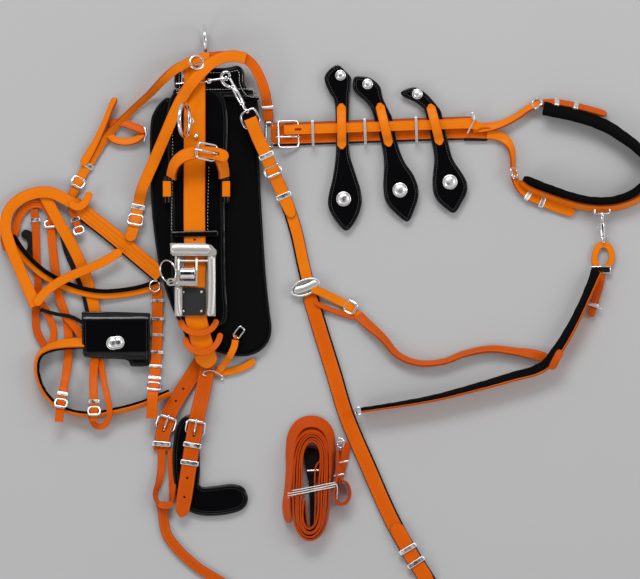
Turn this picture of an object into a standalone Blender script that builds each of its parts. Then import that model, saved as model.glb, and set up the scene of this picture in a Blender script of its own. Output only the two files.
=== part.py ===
"""Driving harness laid out flat: saddle with quick hitch, bridle, breast strap, back strap,
crupper, girth and folded lines. Lengths in metres, +Z up, +X towards the tail."""
import bpy
import bmesh
import math
from mathutils import Matrix, Vector

MM = 0.001

# Layout: every route and outline is drawn in the pixels of a 640 by 579 view from straight above
PIXEL = 1.3 * MM
CENTRE_PX = (209.0, 225.0)

# Straps and the air between pieces that rest on each other
STRAP = 3.0 * MM
SEAT = 0.35 * MM
LIFT = 1.8 * MM
LAYER = STRAP + SEAT
LINING = 6.0 * MM

# Widths of the straps
SADDLE_WIDTH = 28.0 * MM
GIRTH_WIDTH = 20.0 * MM
BACK_WIDTH = 30.0 * MM
BREAST_WIDTH = 21.0 * MM
BREECH_WIDTH = 23.0 * MM
COLLAR_WIDTH = 17.0 * MM
CHEEK_WIDTH = 15.0 * MM
NARROW_WIDTH = 12.0 * MM
NOSE_WIDTH = 16.0 * MM
BROW_WIDTH = 21.0 * MM
DOCK_WIDTH = 22.0 * MM
DOCK_THICK = 9.0 * MM

# Saddle pad, skirt and tree
PAD_THICK = 18.0 * MM
PAD_EDGE = 5.0 * MM
SKIRT_THICK = 5.0 * MM
SKIRT_EDGE = 1.8 * MM
TREE_EDGE = 2.5 * MM
PLATE = 2.0 * MM

# Metal fittings
WIRE = 1.5 * MM
KEEPER_WALL = 1.3 * MM
KEEPER_CORNER = 1.0 * MM
KEEPER_LENGTH = 6.0 * MM
FREE = 0.6 * MM
SINK = 0.6 * MM
TERRET_RADIUS = 17.0 * MM
SIDE_TERRET_RADIUS = 21.5 * MM
TERRET_WIRE = 2.6 * MM
STEM_RADIUS = 3.4 * MM

# Heights of the levels on which straps lie
PAD_TOP = PAD_THICK
SKIRT_TOP = PAD_TOP + SEAT + SKIRT_THICK
F = "floor"
P = "pad"
S = "skirt"
H = "hitch"
DECKS = {
    F: LIFT,
    P: PAD_TOP + SEAT,
    S: SKIRT_TOP + SEAT,
    H: SKIRT_TOP + SEAT + PLATE + SEAT,
}

# Reach within which the points of a joint between two shapes are merged
WELD = 0.001 * MM

# Steps used to round a route off, in degrees of turn
BEND_STEP = 14.0
TILT_STEP = 14.0

# Colour, roughness and metallic value of each finish
FINISHES = {
    "orange_strap": ((0.83, 0.19, 0.01), 0.45, 0.0),
    "black_patent": ((0.012, 0.012, 0.014), 0.12, 0.0),
    "black_felt": ((0.01, 0.01, 0.01), 0.9, 0.0),
    "chrome": ((0.78, 0.78, 0.78), 0.15, 1.0),
    "brushed_metal": ((0.6, 0.58, 0.55), 0.35, 1.0),
    "rubber": ((0.02, 0.02, 0.02), 0.6, 0.0),
    "white_cord": ((0.85, 0.83, 0.8), 0.6, 0.0),
}


def clear_scene():
    for thing in list(bpy.data.objects):
        bpy.data.objects.remove(thing)


def new_collection(name):
    collection = bpy.data.collections.new(name)
    bpy.context.scene.collection.children.link(collection)
    return collection


clear_scene()
HARNESS = new_collection("driving_harness")
CUTTERS = new_collection("cutters")
MATERIALS = {}


def finish(name):
    """The Principled material of one finish."""
    if name not in MATERIALS:
        colour, roughness, metallic = FINISHES[name]
        material = bpy.data.materials.new(name)
        material.use_nodes = True
        shader = material.node_tree.nodes["Principled BSDF"]
        shader.inputs["Base Color"].default_value = (*colour, 1.0)
        shader.inputs["Roughness"].default_value = roughness
        shader.inputs["Metallic"].default_value = metallic
        material.diffuse_color = (*colour, 1.0)
        MATERIALS[name] = material
    return MATERIALS[name]


def at(px, py, z=0.0):
    """World place of a pixel of the view from above."""
    return Vector(((px - CENTRE_PX[0]) * PIXEL, (CENTRE_PX[1] - py) * PIXEL, z))


def show(thing, name, surface):
    """Names an object as a piece of the harness and gives it its finish."""
    for collection in list(thing.users_collection):
        collection.objects.unlink(thing)
    HARNESS.objects.link(thing)
    thing.name = name
    thing.data.materials.clear()
    thing.data.materials.append(finish(surface))
    return thing


def as_cutter(thing):
    """Hides an object that only takes part in a Boolean."""
    for collection in list(thing.users_collection):
        collection.objects.unlink(thing)
    CUTTERS.objects.link(thing)
    thing.hide_render = True
    thing.display_type = "WIRE"
    return thing


def boolean(target, other, operation):
    modifier = target.modifiers.new(operation.lower() + "_" + other.name, "BOOLEAN")
    modifier.operation = operation
    modifier.solver = "EXACT"
    modifier.object = as_cutter(other)
    weld = target.modifiers.new("weld_" + other.name, "WELD")
    weld.merge_threshold = WELD
    return target


def fuse(target, *others):
    for other in others:
        boolean(target, other, "UNION")
    return target


def cut(target, *others):
    for other in others:
        boolean(target, other, "DIFFERENCE")
    return target


def mesh_of(curve_data, name):
    """A mesh object made from a curve, with its caps welded."""
    curve = bpy.data.objects.new(name, curve_data)
    bpy.context.scene.collection.objects.link(curve)
    graph = bpy.context.evaluated_depsgraph_get()
    mesh = bpy.data.meshes.new_from_object(curve.evaluated_get(graph))
    work = bmesh.new()
    work.from_mesh(mesh)
    bmesh.ops.remove_doubles(work, verts=work.verts, dist=0.001 * MM)
    work.to_mesh(mesh)
    work.free()
    thing = bpy.data.objects.new(name, mesh)
    thing.matrix_world = curve.matrix_world
    bpy.context.scene.collection.objects.link(thing)
    bpy.data.objects.remove(curve)
    return thing


def spline_into(curve_data, points, cyclic):
    spline = curve_data.splines.new("POLY")
    spline.points.add(len(points) - 1)
    spline.use_cyclic_u = cyclic
    for slot, point in zip(spline.points, points):
        place, tilt, radius = point
        slot.co = (*place, 1.0)
        slot.tilt = tilt
        slot.radius = radius
    return spline


def wire(name, places, radius, cyclic=False, sides=1, swell=None):
    """Round wire through a row of places."""
    data = bpy.data.curves.new(name, "CURVE")
    data.dimensions = "3D"
    data.bevel_depth = radius
    data.bevel_resolution = sides
    data.use_fill_caps = True
    swell = swell or [1.0] * len(places)
    spline_into(data, [(place, 0.0, size) for place, size in zip(places, swell)], cyclic)
    return mesh_of(data, name)


def rise(width, thick, tilt):
    """Half the height of a strap that leans by its tilt."""
    return abs(math.sin(tilt)) * width / 2 + abs(math.cos(tilt)) * thick / 2


def smooth(route, width, thick):
    """Points, leans and swells along a smooth line through a route's own points.

    A route point is pixel x, pixel y, deck, layers above it, lean in degrees, swell."""
    marks = []
    for mark in route:
        px, py, deck, layer = mark[:4]
        lean = math.radians(mark[4]) if len(mark) > 4 else 0.0
        swell = mark[5] if len(mark) > 5 else 1.0
        height = DECKS[deck] + layer * LAYER + rise(width, thick, lean)
        marks.append((at(px, py, height), lean, swell))
    places = [mark[0] for mark in marks]
    last = len(places) - 1
    tangents = []
    for index in range(len(places)):
        before = places[max(index - 1, 0)]
        after = places[min(index + 1, last)]
        if 0 < index < last:
            back = (places[index] - before).normalized()
            ahead = (after - places[index]).normalized()
            tangents.append((back + ahead).normalized())
        else:
            tangents.append((after - before).normalized())
    samples = []
    for index in range(last):
        start, lean_a, swell_a = marks[index]
        end, lean_b, swell_b = marks[index + 1]
        chord = (end - start).length
        turn = math.degrees(tangents[index].angle(tangents[index + 1]))
        steps = max(1, math.ceil(turn / BEND_STEP))
        steps = max(steps, math.ceil(math.degrees(abs(lean_b - lean_a)) / TILT_STEP))
        for step in range(steps):
            t = step / steps
            place = (start * (2 * t ** 3 - 3 * t ** 2 + 1) + end * (3 * t ** 2 - 2 * t ** 3)
                     + tangents[index] * chord * (t ** 3 - 2 * t ** 2 + t)
                     + tangents[index + 1] * chord * (t ** 3 - t ** 2))
            samples.append((place, lean_a + (lean_b - lean_a) * t, swell_a + (swell_b - swell_a) * t))
    samples.append(marks[-1])
    return samples


def band(name, route, width, thick=STRAP, surface="orange_strap"):
    """A flat strap of rounded section along a route."""
    samples = smooth(route, width, thick)
    data = bpy.data.curves.new(name, "CURVE")
    data.dimensions = "3D"
    data.twist_mode = "Z_UP"
    data.bevel_depth = thick / 2
    data.bevel_resolution = 0
    data.extrude = (width - thick) / 2
    data.use_fill_caps = True
    flat = math.radians(90)
    spline_into(data, [(place, flat - lean, swell) for place, lean, swell in samples], False)
    return show(mesh_of(data, name), name, surface)


class Spot:
    """A place on a strap: its centre, the way along it, across it and out of its upper face."""

    def __init__(self, route, px, py, width, thick=STRAP):
        samples = smooth(route, width, thick)
        target = at(px, py)
        best = None
        for (start, lean_a, _), (end, lean_b, _) in zip(samples, samples[1:]):
            run = end - start
            flat_run = Vector((run.x, run.y, 0.0))
            offset = Vector((target.x - start.x, target.y - start.y, 0.0))
            share = min(1.0, max(0.0, offset.dot(flat_run) / flat_run.length_squared))
            place = start + run * share
            away = (Vector((place.x, place.y, 0.0)) - target).length
            if best is None or away < best[0]:
                best = (away, place, run.normalized(), lean_a + (lean_b - lean_a) * share)
        _, self.place, self.along, lean = best
        level = Vector((self.along.y, -self.along.x, 0.0)).normalized()
        self.across = (Matrix.Rotation(-lean, 3, self.along) @ level).normalized()
        self.up = self.across.cross(self.along).normalized()
        self.width = width
        self.thick = thick

    def point(self, across, along, up):
        return self.place + self.across * across + self.along * along + self.up * up

    def turned(self):
        """The same spot, facing back along its strap."""
        other = object.__new__(Spot)
        other.place = self.place
        other.along = -self.along
        other.across = -self.across
        other.up = self.up
        other.width = self.width
        other.thick = self.thick
        return other

    def matrix(self, origin):
        """Across, up and along as the x, y and z of a plate that stands square to the strap."""
        turn = Matrix((self.across, self.up, -self.along)).transposed()
        return Matrix.Translation(origin) @ turn.to_4x4()


def rounded(width, height, corner, centre=(0.0, 0.0)):
    """The corner points of a rectangle with cut corners."""
    half_w = width / 2
    half_h = height / 2
    cx, cy = centre
    points = []
    for sx, sy, first_x in ((1, 1, False), (-1, 1, True), (-1, -1, False), (1, -1, True)):
        near_x = (cx + sx * (half_w - corner), cy + sy * half_h)
        near_y = (cx + sx * half_w, cy + sy * (half_h - corner))
        pair = (near_x, near_y) if first_x else (near_y, near_x)
        points.extend(pair)
    return points


def plate(name, loops, thick, matrix, edge=0.0, edge_steps=0):
    """A flat plate from an outline and its holes, in the x and y of a matrix."""
    data = bpy.data.curves.new(name, "CURVE")
    data.dimensions = "2D"
    data.fill_mode = "BOTH"
    data.extrude = thick / 2 - edge
    data.bevel_depth = edge
    data.bevel_resolution = edge_steps
    data.offset = -edge
    for loop in loops:
        spline_into(data, [((x, y, 0.0), 0.0, 1.0) for x, y in loop], True)
    thing = mesh_of(data, name)
    thing.data.transform(matrix)
    return thing


def flat_plate(name, outline_px, bottom, thick, surface, edge=0.0, edge_steps=0):
    """A plate that lies level, with its outline in pixels of the view."""
    loop = [tuple(at(px, py)[:2]) for px, py in outline_px]
    level = Matrix.Translation((0.0, 0.0, bottom + thick / 2))
    return show(plate(name, [loop], thick, level, edge, edge_steps), name, surface)


def keeper(spot, stack=1, length=None, slack=FREE):
    """A metal loop round a strap. It grips the strap and leaves room for more straps above it."""
    length = length or KEEPER_LENGTH
    low = -spot.thick / 2 - KEEPER_WALL
    inner_low = -spot.thick / 2 + SINK
    inner_high = spot.thick / 2 + (stack - 1) * LAYER + slack
    if stack == 1:
        inner_high = spot.thick / 2 - SINK
    high = inner_high + KEEPER_WALL + (SINK if stack == 1 else 0.0)
    inner_w = spot.width + 2 * slack if stack > 1 else spot.width - 2 * SINK
    outer_w = spot.width + 2 * slack + 2 * KEEPER_WALL
    outer = rounded(outer_w, high - low, KEEPER_CORNER, (0.0, (high + low) / 2))
    loops = [outer]
    if stack > 1:
        loops.append(rounded(inner_w, inner_high - inner_low, SINK, (0.0, (inner_high + inner_low) / 2)))
    return plate("keeper", loops, length, spot.matrix(spot.place))


def solid_box(name, low, high):
    """A box between two corners."""
    work = bmesh.new()
    bmesh.ops.create_cube(work, size=1.0)
    mesh = bpy.data.meshes.new(name)
    work.to_mesh(mesh)
    work.free()
    size = Vector(high) - Vector(low)
    centre = (Vector(high) + Vector(low)) / 2
    mesh.transform(Matrix.Translation(centre) @ Matrix.Diagonal((*size, 1.0)))
    thing = bpy.data.objects.new(name, mesh)
    bpy.context.scene.collection.objects.link(thing)
    return thing


def pixel_box(name, px_low, px_high, bottom, top):
    """A box over a rectangle of pixels, from a bottom to a top."""
    a = at(*px_low)
    b = at(*px_high)
    low = (min(a.x, b.x), min(a.y, b.y), bottom)
    high = (max(a.x, b.x), max(a.y, b.y), top)
    return solid_box(name, low, high)


def rod(name, start, end, radius, sides=16):
    """A round bar between two places."""
    start = Vector(start)
    end = Vector(end)
    work = bmesh.new()
    bmesh.ops.create_cone(work, cap_ends=True, segments=sides, radius1=radius, radius2=radius,
                          depth=(end - start).length)
    mesh = bpy.data.meshes.new(name)
    work.to_mesh(mesh)
    work.free()
    aim = Vector((0.0, 0.0, 1.0)).rotation_difference(end - start).to_matrix().to_4x4()
    mesh.transform(Matrix.Translation((start + end) / 2) @ aim)
    thing = bpy.data.objects.new(name, mesh)
    bpy.context.scene.collection.objects.link(thing)
    return thing


def turned(name, start, end, profile_shares, radius, sides=16):
    """A turned bar: rows of share along and share of the radius, spun by a Screw modifier."""
    start = Vector(start)
    end = Vector(end)
    length = (end - start).length
    rows = [(0.0, profile_shares[-1][0])]
    rows += [(share_r, share_z) for share_z, share_r in reversed(profile_shares)]
    rows += [(0.0, profile_shares[0][0])]
    mesh = bpy.data.meshes.new(name)
    points = [(share_r * radius, 0.0, share_z * length) for share_r, share_z in rows]
    edges = [(index, index + 1) for index in range(len(points) - 1)]
    mesh.from_pydata(points, edges, [])
    aim = Vector((0.0, 0.0, 1.0)).rotation_difference(end - start).to_matrix().to_4x4()
    thing = bpy.data.objects.new(name, mesh)
    bpy.context.scene.collection.objects.link(thing)
    screw = thing.modifiers.new("spin", "SCREW")
    screw.axis = "Z"
    screw.steps = sides
    screw.render_steps = sides
    screw.use_merge_vertices = True
    screw.merge_threshold = 0.01 * MM
    graph = bpy.context.evaluated_depsgraph_get()
    solid = bpy.data.meshes.new_from_object(thing.evaluated_get(graph))
    bpy.data.objects.remove(thing)
    solid.transform(Matrix.Translation(start) @ aim)
    whole = bpy.data.objects.new(name, solid)
    bpy.context.scene.collection.objects.link(whole)
    return whole


DOME_SHARES = ((0.0, 1.0), (0.35, 0.96), (0.7, 0.72), (0.93, 0.36), (1.0, 0.08))


def stud(place, radius, height):
    """A domed stud that stands on a level face."""
    return turned("stud", place - Vector((0.0, 0.0, SINK)), place + Vector((0.0, 0.0, height)),
                  DOME_SHARES, radius, 14)


def ring(name, centre, axis, radius, thick, steps=24, sides=1):
    """A round wire ring about an axis."""
    axis = Vector(axis).normalized()
    side = axis.orthogonal().normalized()
    other = axis.cross(side)
    places = []
    for step in range(steps):
        angle = 2 * math.pi * step / steps
        places.append(centre + side * (radius * math.cos(angle)) + other * (radius * math.sin(angle)))
    return wire(name, places, thick, True, sides)


def frame_wire(name, spot, width, length, back_up, front_up, thick=WIRE, corner=None):
    """A buckle frame: its back bar lies at the spot and its front rail further along."""
    corner = corner or 2 * thick
    half = width / 2
    places = []
    for across, along in ((-half, corner), (-half, length - corner), (corner - half, length),
                          (half - corner, length), (half, length - corner), (half, corner),
                          (half - corner, 0.0), (corner - half, 0.0)):
        up = back_up + (front_up - back_up) * along / length
        places.append(spot.point(across, along, up))
    return wire(name, places, thick, True)


BUCKLE_SHARE = 1.25
BAR_UP = LAYER - STRAP / 2 - SEAT / 2 - WIRE


def buckle(spot, stack=2, length=None, thick=WIRE):
    """A buckle frame whose back bar sinks into the strap at the spot, under the billet,
    and whose front rail lies over the billet."""
    length = length or spot.width * BUCKLE_SHARE
    width = spot.width + 2 * (FREE + thick)
    back_up = BAR_UP
    front_up = spot.thick / 2 + (stack - 1) * LAYER + SEAT + thick
    return frame_wire("buckle", spot, width, length, back_up, front_up, thick)


TONGUE_RADIUS = 1.2 * MM
TONGUE_TURN = 125.0
TONGUE_STEPS = 6


def tongue(name, spot, length, bar_up, rail_up, bar=WIRE):
    """A buckle tongue: it hooks round the bar at the spot and lies on the rail further along."""
    bend = bar + SEAT + TONGUE_RADIUS
    places = []
    for step in range(TONGUE_STEPS + 1):
        angle = math.radians(90 + TONGUE_TURN * (1 - step / TONGUE_STEPS))
        places.append(spot.point(0.0, bend * math.cos(angle), bar_up + bend * math.sin(angle)))
    top = rail_up + bar + SEAT + TONGUE_RADIUS
    places.append(spot.point(0.0, bend, bar_up + bend + (top - bar_up - bend) * BEND_RISE_SHARE))
    places.append(spot.point(0.0, length, top))
    places.append(spot.point(0.0, length + 2 * bar, top - TONGUE_RADIUS / 2))
    return show(wire(name, places, TONGUE_RADIUS), name, "chrome")


BEND_RISE_SHARE = 0.75


def slot_cutter(spot, back, ahead):
    """A slot through a billet for the tongue, from behind the bar to ahead of it."""
    half = TONGUE_RADIUS + SEAT
    box = solid_box("slot", (-half, -back, -LAYER), (half, ahead, LAYER))
    turn = Matrix((spot.across, spot.along, spot.up)).transposed().to_4x4()
    box.data.transform(Matrix.Translation(spot.place) @ turn)
    return box


# Saddle pad, skirt and tree, seen from above

PAD_OUTLINE = (
    (163, 98.6), (176, 96.5), (245, 95.5), (257, 98.6), (260, 115), (260.5, 165), (264, 230), (267, 275),
    (270, 305), (272.6, 328), (270, 341), (262, 351), (252, 356), (242, 357.5), (228, 356), (216, 353),
    (203, 351), (190, 349), (181, 329), (170, 306), (160, 275), (156, 255), (152, 225), (150, 200),
    (149, 165), (149, 130), (152, 113),
)
SKIRT_OUTLINE = (
    (171, 97.5), (224, 97.5), (225, 200), (226, 280), (228, 310), (226, 322), (218, 326), (200, 327),
    (180, 318), (174.5, 300), (171.5, 270), (170.5, 200),
)
TREE_OUTLINE = (
    (176, 72), (188, 69), (225, 68), (238, 66), (244, 72), (245, 84), (250, 92), (254, 94.2), (180, 94.6),
    (175, 88),
)
EDGE_STEPS = 2
pad = flat_plate("saddle_pad", PAD_OUTLINE, 0.0, PAD_THICK, "black_felt", PAD_EDGE, EDGE_STEPS)
skirt = flat_plate("saddle_skirt", SKIRT_OUTLINE, PAD_TOP + SEAT, SKIRT_THICK, "black_patent", SKIRT_EDGE)
tree = flat_plate("saddle_tree", TREE_OUTLINE, 0.0, SKIRT_TOP, "black_patent", TREE_EDGE)

# Wire staple on the tree, for the snap of the front strap
STAPLE_RISE = 9.0 * MM
STAPLE_LEG = (226.3, 79.0)
STAPLE_FOOT = (209.0, 81.5)
staple = wire("staple", [
    at(*STAPLE_LEG, SKIRT_TOP - 2 * SINK),
    at(*STAPLE_LEG, SKIRT_TOP + STAPLE_RISE - WIRE),
    at(STAPLE_LEG[0] - 2, STAPLE_LEG[1], SKIRT_TOP + STAPLE_RISE),
    at(STAPLE_FOOT[0] + 2, STAPLE_FOOT[1], SKIRT_TOP + STAPLE_RISE),
    at(*STAPLE_FOOT, SKIRT_TOP + STAPLE_RISE - WIRE),
    at(*STAPLE_FOOT, SKIRT_TOP - 2 * SINK),
], WIRE)
fuse(tree, staple)

# Long strap that lies over the saddle and runs through the quick hitch
SADDLE_ROUTE = (
    (195, 66, S, 0), (195, 150, S, 0), (195, 238, S, 0), (195.5, 248, H, 0),
    (196.3, 317.5, H, 0), (197.5, 322.5, S, 0.25), (199, 329, S, 0.1), (200.5, 336, P, 1.1),
    (203, 346, P, 0.7),
    (205, 353, P, 0.7), (206.8, 360, F, 4.4), (207.5, 368, F, 3.2, 0, 0.8),
)
HOLE_RADIUS = 2.2 * MM
saddle_strap = band("saddle_strap", SADDLE_ROUTE, SADDLE_WIDTH)


def hole_cutter(spot, radius=HOLE_RADIUS):
    reach = LAYER
    return rod("hole", spot.point(0.0, 0.0, -reach), spot.point(0.0, 0.0, reach), radius, 10)


cut(saddle_strap, hole_cutter(Spot(SADDLE_ROUTE, 195, 228, SADDLE_WIDTH)))

# Leather loop of the skirt over the saddle strap
LOOP_WALL = 2.6 * MM


def bridge(spot, length, wall=LOOP_WALL, sink=SINK, drop=0.0, over=0):
    """A leather loop over a strap; its foot sinks into the face on which the strap lies."""
    inner_low = -spot.thick / 2 - SEAT / 2 - drop
    outer_low = -spot.thick / 2 - SEAT - drop - sink
    inner_high = spot.thick / 2 + FREE + over * LAYER
    outer_high = inner_high + wall
    inner_w = spot.width + 2 * FREE
    outer_w = inner_w + 2 * wall
    loops = [
        rounded(outer_w, outer_high - outer_low, wall / 2, (0.0, (outer_high + outer_low) / 2)),
        rounded(inner_w, inner_high - inner_low, SINK, (0.0, (inner_high + inner_low) / 2)),
    ]
    return plate("bridge", loops, length, spot.matrix(spot.place))


LOOP_LENGTH = 9.0 * MM
fuse(skirt, bridge(Spot(SADDLE_ROUTE, 195, 212, SADDLE_WIDTH), LOOP_LENGTH))

# Terrets
FLY_CENTRE = (205.5, 40.0)
FLY_RISE = TERRET_RADIUS + TERRET_WIRE + SEAT
FLY_STEM = 3.0 * MM
FLY_STEM_FOOT = 66.5
FLY_FOOT = ((201, 65.2), (210, 68.2))
FLY_AXIS = (1.0, 0.06, 0.0)
fly_terret = show(ring("fly", at(*FLY_CENTRE, FLY_RISE), FLY_AXIS, TERRET_RADIUS, TERRET_WIRE, 24),
                  "fly_terret", "chrome")
FLY_LOW = FLY_CENTRE[1] + TERRET_RADIUS / PIXEL
fuse(fly_terret,
     rod("stem", at(FLY_CENTRE[0], FLY_LOW, FLY_RISE), at(FLY_CENTRE[0], FLY_STEM_FOOT, FLY_RISE), FLY_STEM,
         12),
     pixel_box("foot", *FLY_FOOT, LIFT, FLY_RISE + FLY_STEM + SEAT))

SIDE_BASE = (191.0, 121.5)
SIDE_LEAN = math.radians(16)
SIDE_FOOT = DECKS[S] + LAYER
BASE_THICK = 2.2 * MM
BASE_RADIUS = 8.0 * MM
STEM_RISE = 4.0 * MM
side_way = Vector((-math.sin(SIDE_LEAN), 0.0, math.cos(SIDE_LEAN)))
side_start = at(*SIDE_BASE, SIDE_FOOT + BASE_THICK)
side_centre = side_start + side_way * (SIDE_TERRET_RADIUS + STEM_RISE)
BASE_SHARES = ((0.0, 1.0), (0.6, 1.0), (1.0, 0.8))
side_terret = show(turned("base", at(*SIDE_BASE, SIDE_FOOT), side_start, BASE_SHARES, BASE_RADIUS),
                   "side_terret", "chrome")
fuse(side_terret,
     rod("stem", side_start - side_way * SINK, side_start + side_way * (STEM_RISE + SINK), STEM_RADIUS, 12),
     ring("loop", side_centre, side_way.cross(Vector((0.0, 1.0, 0.0))), SIDE_TERRET_RADIUS, TERRET_WIRE,
          28))

CHECK_CENTRE = (196.5, 62.0)
CHECK_RADIUS = 9.0 * MM
check_ring = show(ring("check", at(*CHECK_CENTRE, DECKS[S] + LAYER + WIRE), (0.0, 0.0, 1.0), CHECK_RADIUS,
                       WIRE, 20), "check_ring", "chrome")

# Tug strap with its buckle, over the saddle strap
TUG_WIDTH = 16.0 * MM
TUG_ROUTE = (
    (167.5, 196, S, 0), (167.5, 181, S, 0.6), (169, 172, S, 3.4), (173, 162, S, 6), (183, 155.5, S, 7.6),
    (196, 153.5, S, 8), (206, 153.5, S, 8), (218, 155, S, 8), (229, 159, S, 7.6),
)
TUG_BAR = (216.5, 154.6)
CHAPE_ROUTE = (
    (212, 154.0, S, 6.85), (217, 155.2, S, 6.85), (222, 160, S, 5.4), (225.5, 170, S, 2.6),
    (226.5, 181, S, 0.6),
    (226.5, 196, S, 0),
)
tug_billet = band("tug_billet", TUG_ROUTE, TUG_WIDTH)
tug_chape = band("tug_chape", CHAPE_ROUTE, TUG_WIDTH)
tug_spot = Spot(TUG_ROUTE, *TUG_BAR, TUG_WIDTH).turned()
TUG_FRAME = 24.0 * MM


def under(spot, layers=1):
    """The same spot, moved down by whole layers."""
    other = spot.turned().turned()
    other.place = spot.place - spot.up * (layers * LAYER)
    return other


def beside(spot, aside):
    """The same spot, moved across its strap."""
    other = spot.turned().turned()
    other.place = spot.place + spot.across * aside
    return other


SLOT_REACH = 4.6 * MM
tug_bar = under(tug_spot)
cut(tug_chape, slot_cutter(tug_bar, SLOT_REACH, SLOT_REACH))
cut(tug_billet, slot_cutter(tug_spot, SLOT_REACH, SLOT_REACH))
fuse(tug_chape, buckle(tug_bar, 2, TUG_FRAME))
RAIL_UP = STRAP / 2 + LAYER + SEAT + WIRE
tug_tongue = tongue("tug_tongue", tug_bar, TUG_FRAME, BAR_UP, RAIL_UP)
BLOCK_STACK = 2.4
BILLET_BLOCK = ((163.5, 181.5), (171.5, 197))
CHAPE_BLOCK = ((222.6, 181.5), (230.4, 197))
BLOCK_TOP = DECKS[S] + BLOCK_STACK * LAYER
fuse(tug_billet, pixel_box("block", *BILLET_BLOCK, DECKS[S] + SINK, BLOCK_TOP))
fuse(tug_chape, pixel_box("block", *CHAPE_BLOCK, DECKS[S] + SINK, BLOCK_TOP))

# Quick hitch: a sprung lever with a roller grips the shaft stop and a pull ring frees its latch
HITCH_BASE = DECKS[S]
HITCH_LEFT = 175.5
HITCH_RIGHT = 216.0
HITCH_FRONT = 250.0
HITCH_REAR = 316.0
HITCH_WALL_PX = 2.2
HITCH_FLANGE_PX = 7.5
WALL_TOP = DECKS[H] + 12.0 * MM
STRAP_TOP = DECKS[H] + STRAP
EAR_REAR = 266.0
hitch_frame = show(pixel_box("base", (HITCH_LEFT, HITCH_FRONT), (HITCH_RIGHT, HITCH_REAR), HITCH_BASE,
                             HITCH_BASE + PLATE), "hitch_frame", "brushed_metal")
LEVER_REAR = 287.0
fuse(
    hitch_frame,
    pixel_box("left_wall", (HITCH_LEFT, LEVER_REAR), (HITCH_LEFT + HITCH_WALL_PX, HITCH_REAR),
              HITCH_BASE + SINK, WALL_TOP),
    pixel_box("left_flange", (HITCH_LEFT, LEVER_REAR), (HITCH_LEFT + HITCH_FLANGE_PX, HITCH_REAR),
              WALL_TOP - PLATE, WALL_TOP + SINK / 2),
    pixel_box("right_wall", (HITCH_RIGHT - HITCH_WALL_PX, HITCH_FRONT), (HITCH_RIGHT, HITCH_REAR),
              HITCH_BASE + SINK, WALL_TOP),
    pixel_box("right_flange", (HITCH_RIGHT - HITCH_FLANGE_PX, HITCH_FRONT), (HITCH_RIGHT, HITCH_REAR),
              WALL_TOP - PLATE, WALL_TOP + SINK / 2),
    pixel_box("ear", (HITCH_LEFT, HITCH_FRONT), (HITCH_LEFT + HITCH_WALL_PX, EAR_REAR),
              HITCH_BASE + SINK, WALL_TOP),
)
JAW_OUTLINE = (
    (171, 243.5), (205, 243.5), (212, 245.5), (217, 250.5), (217, 254.5), (215, 256), (174, 256),
    (171.5, 254),
)
jaw = [tuple(at(px, py)[:2]) for px, py in JAW_OUTLINE]
fuse(hitch_frame, plate("jaw", [jaw], 2 * PLATE, Matrix.Translation((0.0, 0.0, WALL_TOP)), SINK))

PIVOT_PX = 261.0
PIVOT_RISE = STRAP_TOP + 6.2 * MM
PIN_RADIUS = 1.6 * MM
pin_left = at(HITCH_LEFT + 1, PIVOT_PX, PIVOT_RISE)
pin_right = at(HITCH_RIGHT - 1, PIVOT_PX, PIVOT_RISE)
fuse(hitch_frame, rod("pin", pin_left, pin_right, PIN_RADIUS, 12))

CHEEK_OUTLINE = (
    (-4.6 * MM, 1.6 * MM), (-4.6 * MM, -1.6 * MM), (-2.2 * MM, -4.4 * MM), (2.0 * MM, -4.7 * MM),
    (24.0 * MM, -4.4 * MM), (32.4 * MM, -1.6 * MM), (32.8 * MM, 6.4 * MM), (31.0 * MM, 8.2 * MM),
    (12.0 * MM, 8.2 * MM), (4.0 * MM, 6.2 * MM), (-2.2 * MM, 4.4 * MM),
)
CHEEK_LEFT = (178.6, 180.4)
CHEEK_RIGHT = (196.4, 198.2)
ROLLER_RADIUS = 8.6 * MM
ROLLER_SET = 16.2 * MM
ROLLER_UP = 3.6 * MM
LATCH_SET = 28.9 * MM
LATCH_UP = 4.8 * MM
AXLE_RADIUS = 2.0 * MM
LATCH_RADIUS = 1.8 * MM


def hitch_point(px, along, up):
    """A place on the lever: pixel x, distance behind the pivot, height over it."""
    return at(px, PIVOT_PX, PIVOT_RISE) + Vector((0.0, -along, up))


def cheek(name, span):
    turn = Matrix(((0.0, 0.0, 1.0), (-1.0, 0.0, 0.0), (0.0, 1.0, 0.0))).to_4x4()
    middle = hitch_point((span[0] + span[1]) / 2, 0.0, 0.0)
    return plate(name, [CHEEK_OUTLINE], (span[1] - span[0]) * PIXEL, Matrix.Translation(middle) @ turn)


def across_hitch(name, along, up, radius, span, sides=16):
    return rod(name, hitch_point(span[0], along, up), hitch_point(span[1], along, up), radius, sides)


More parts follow.
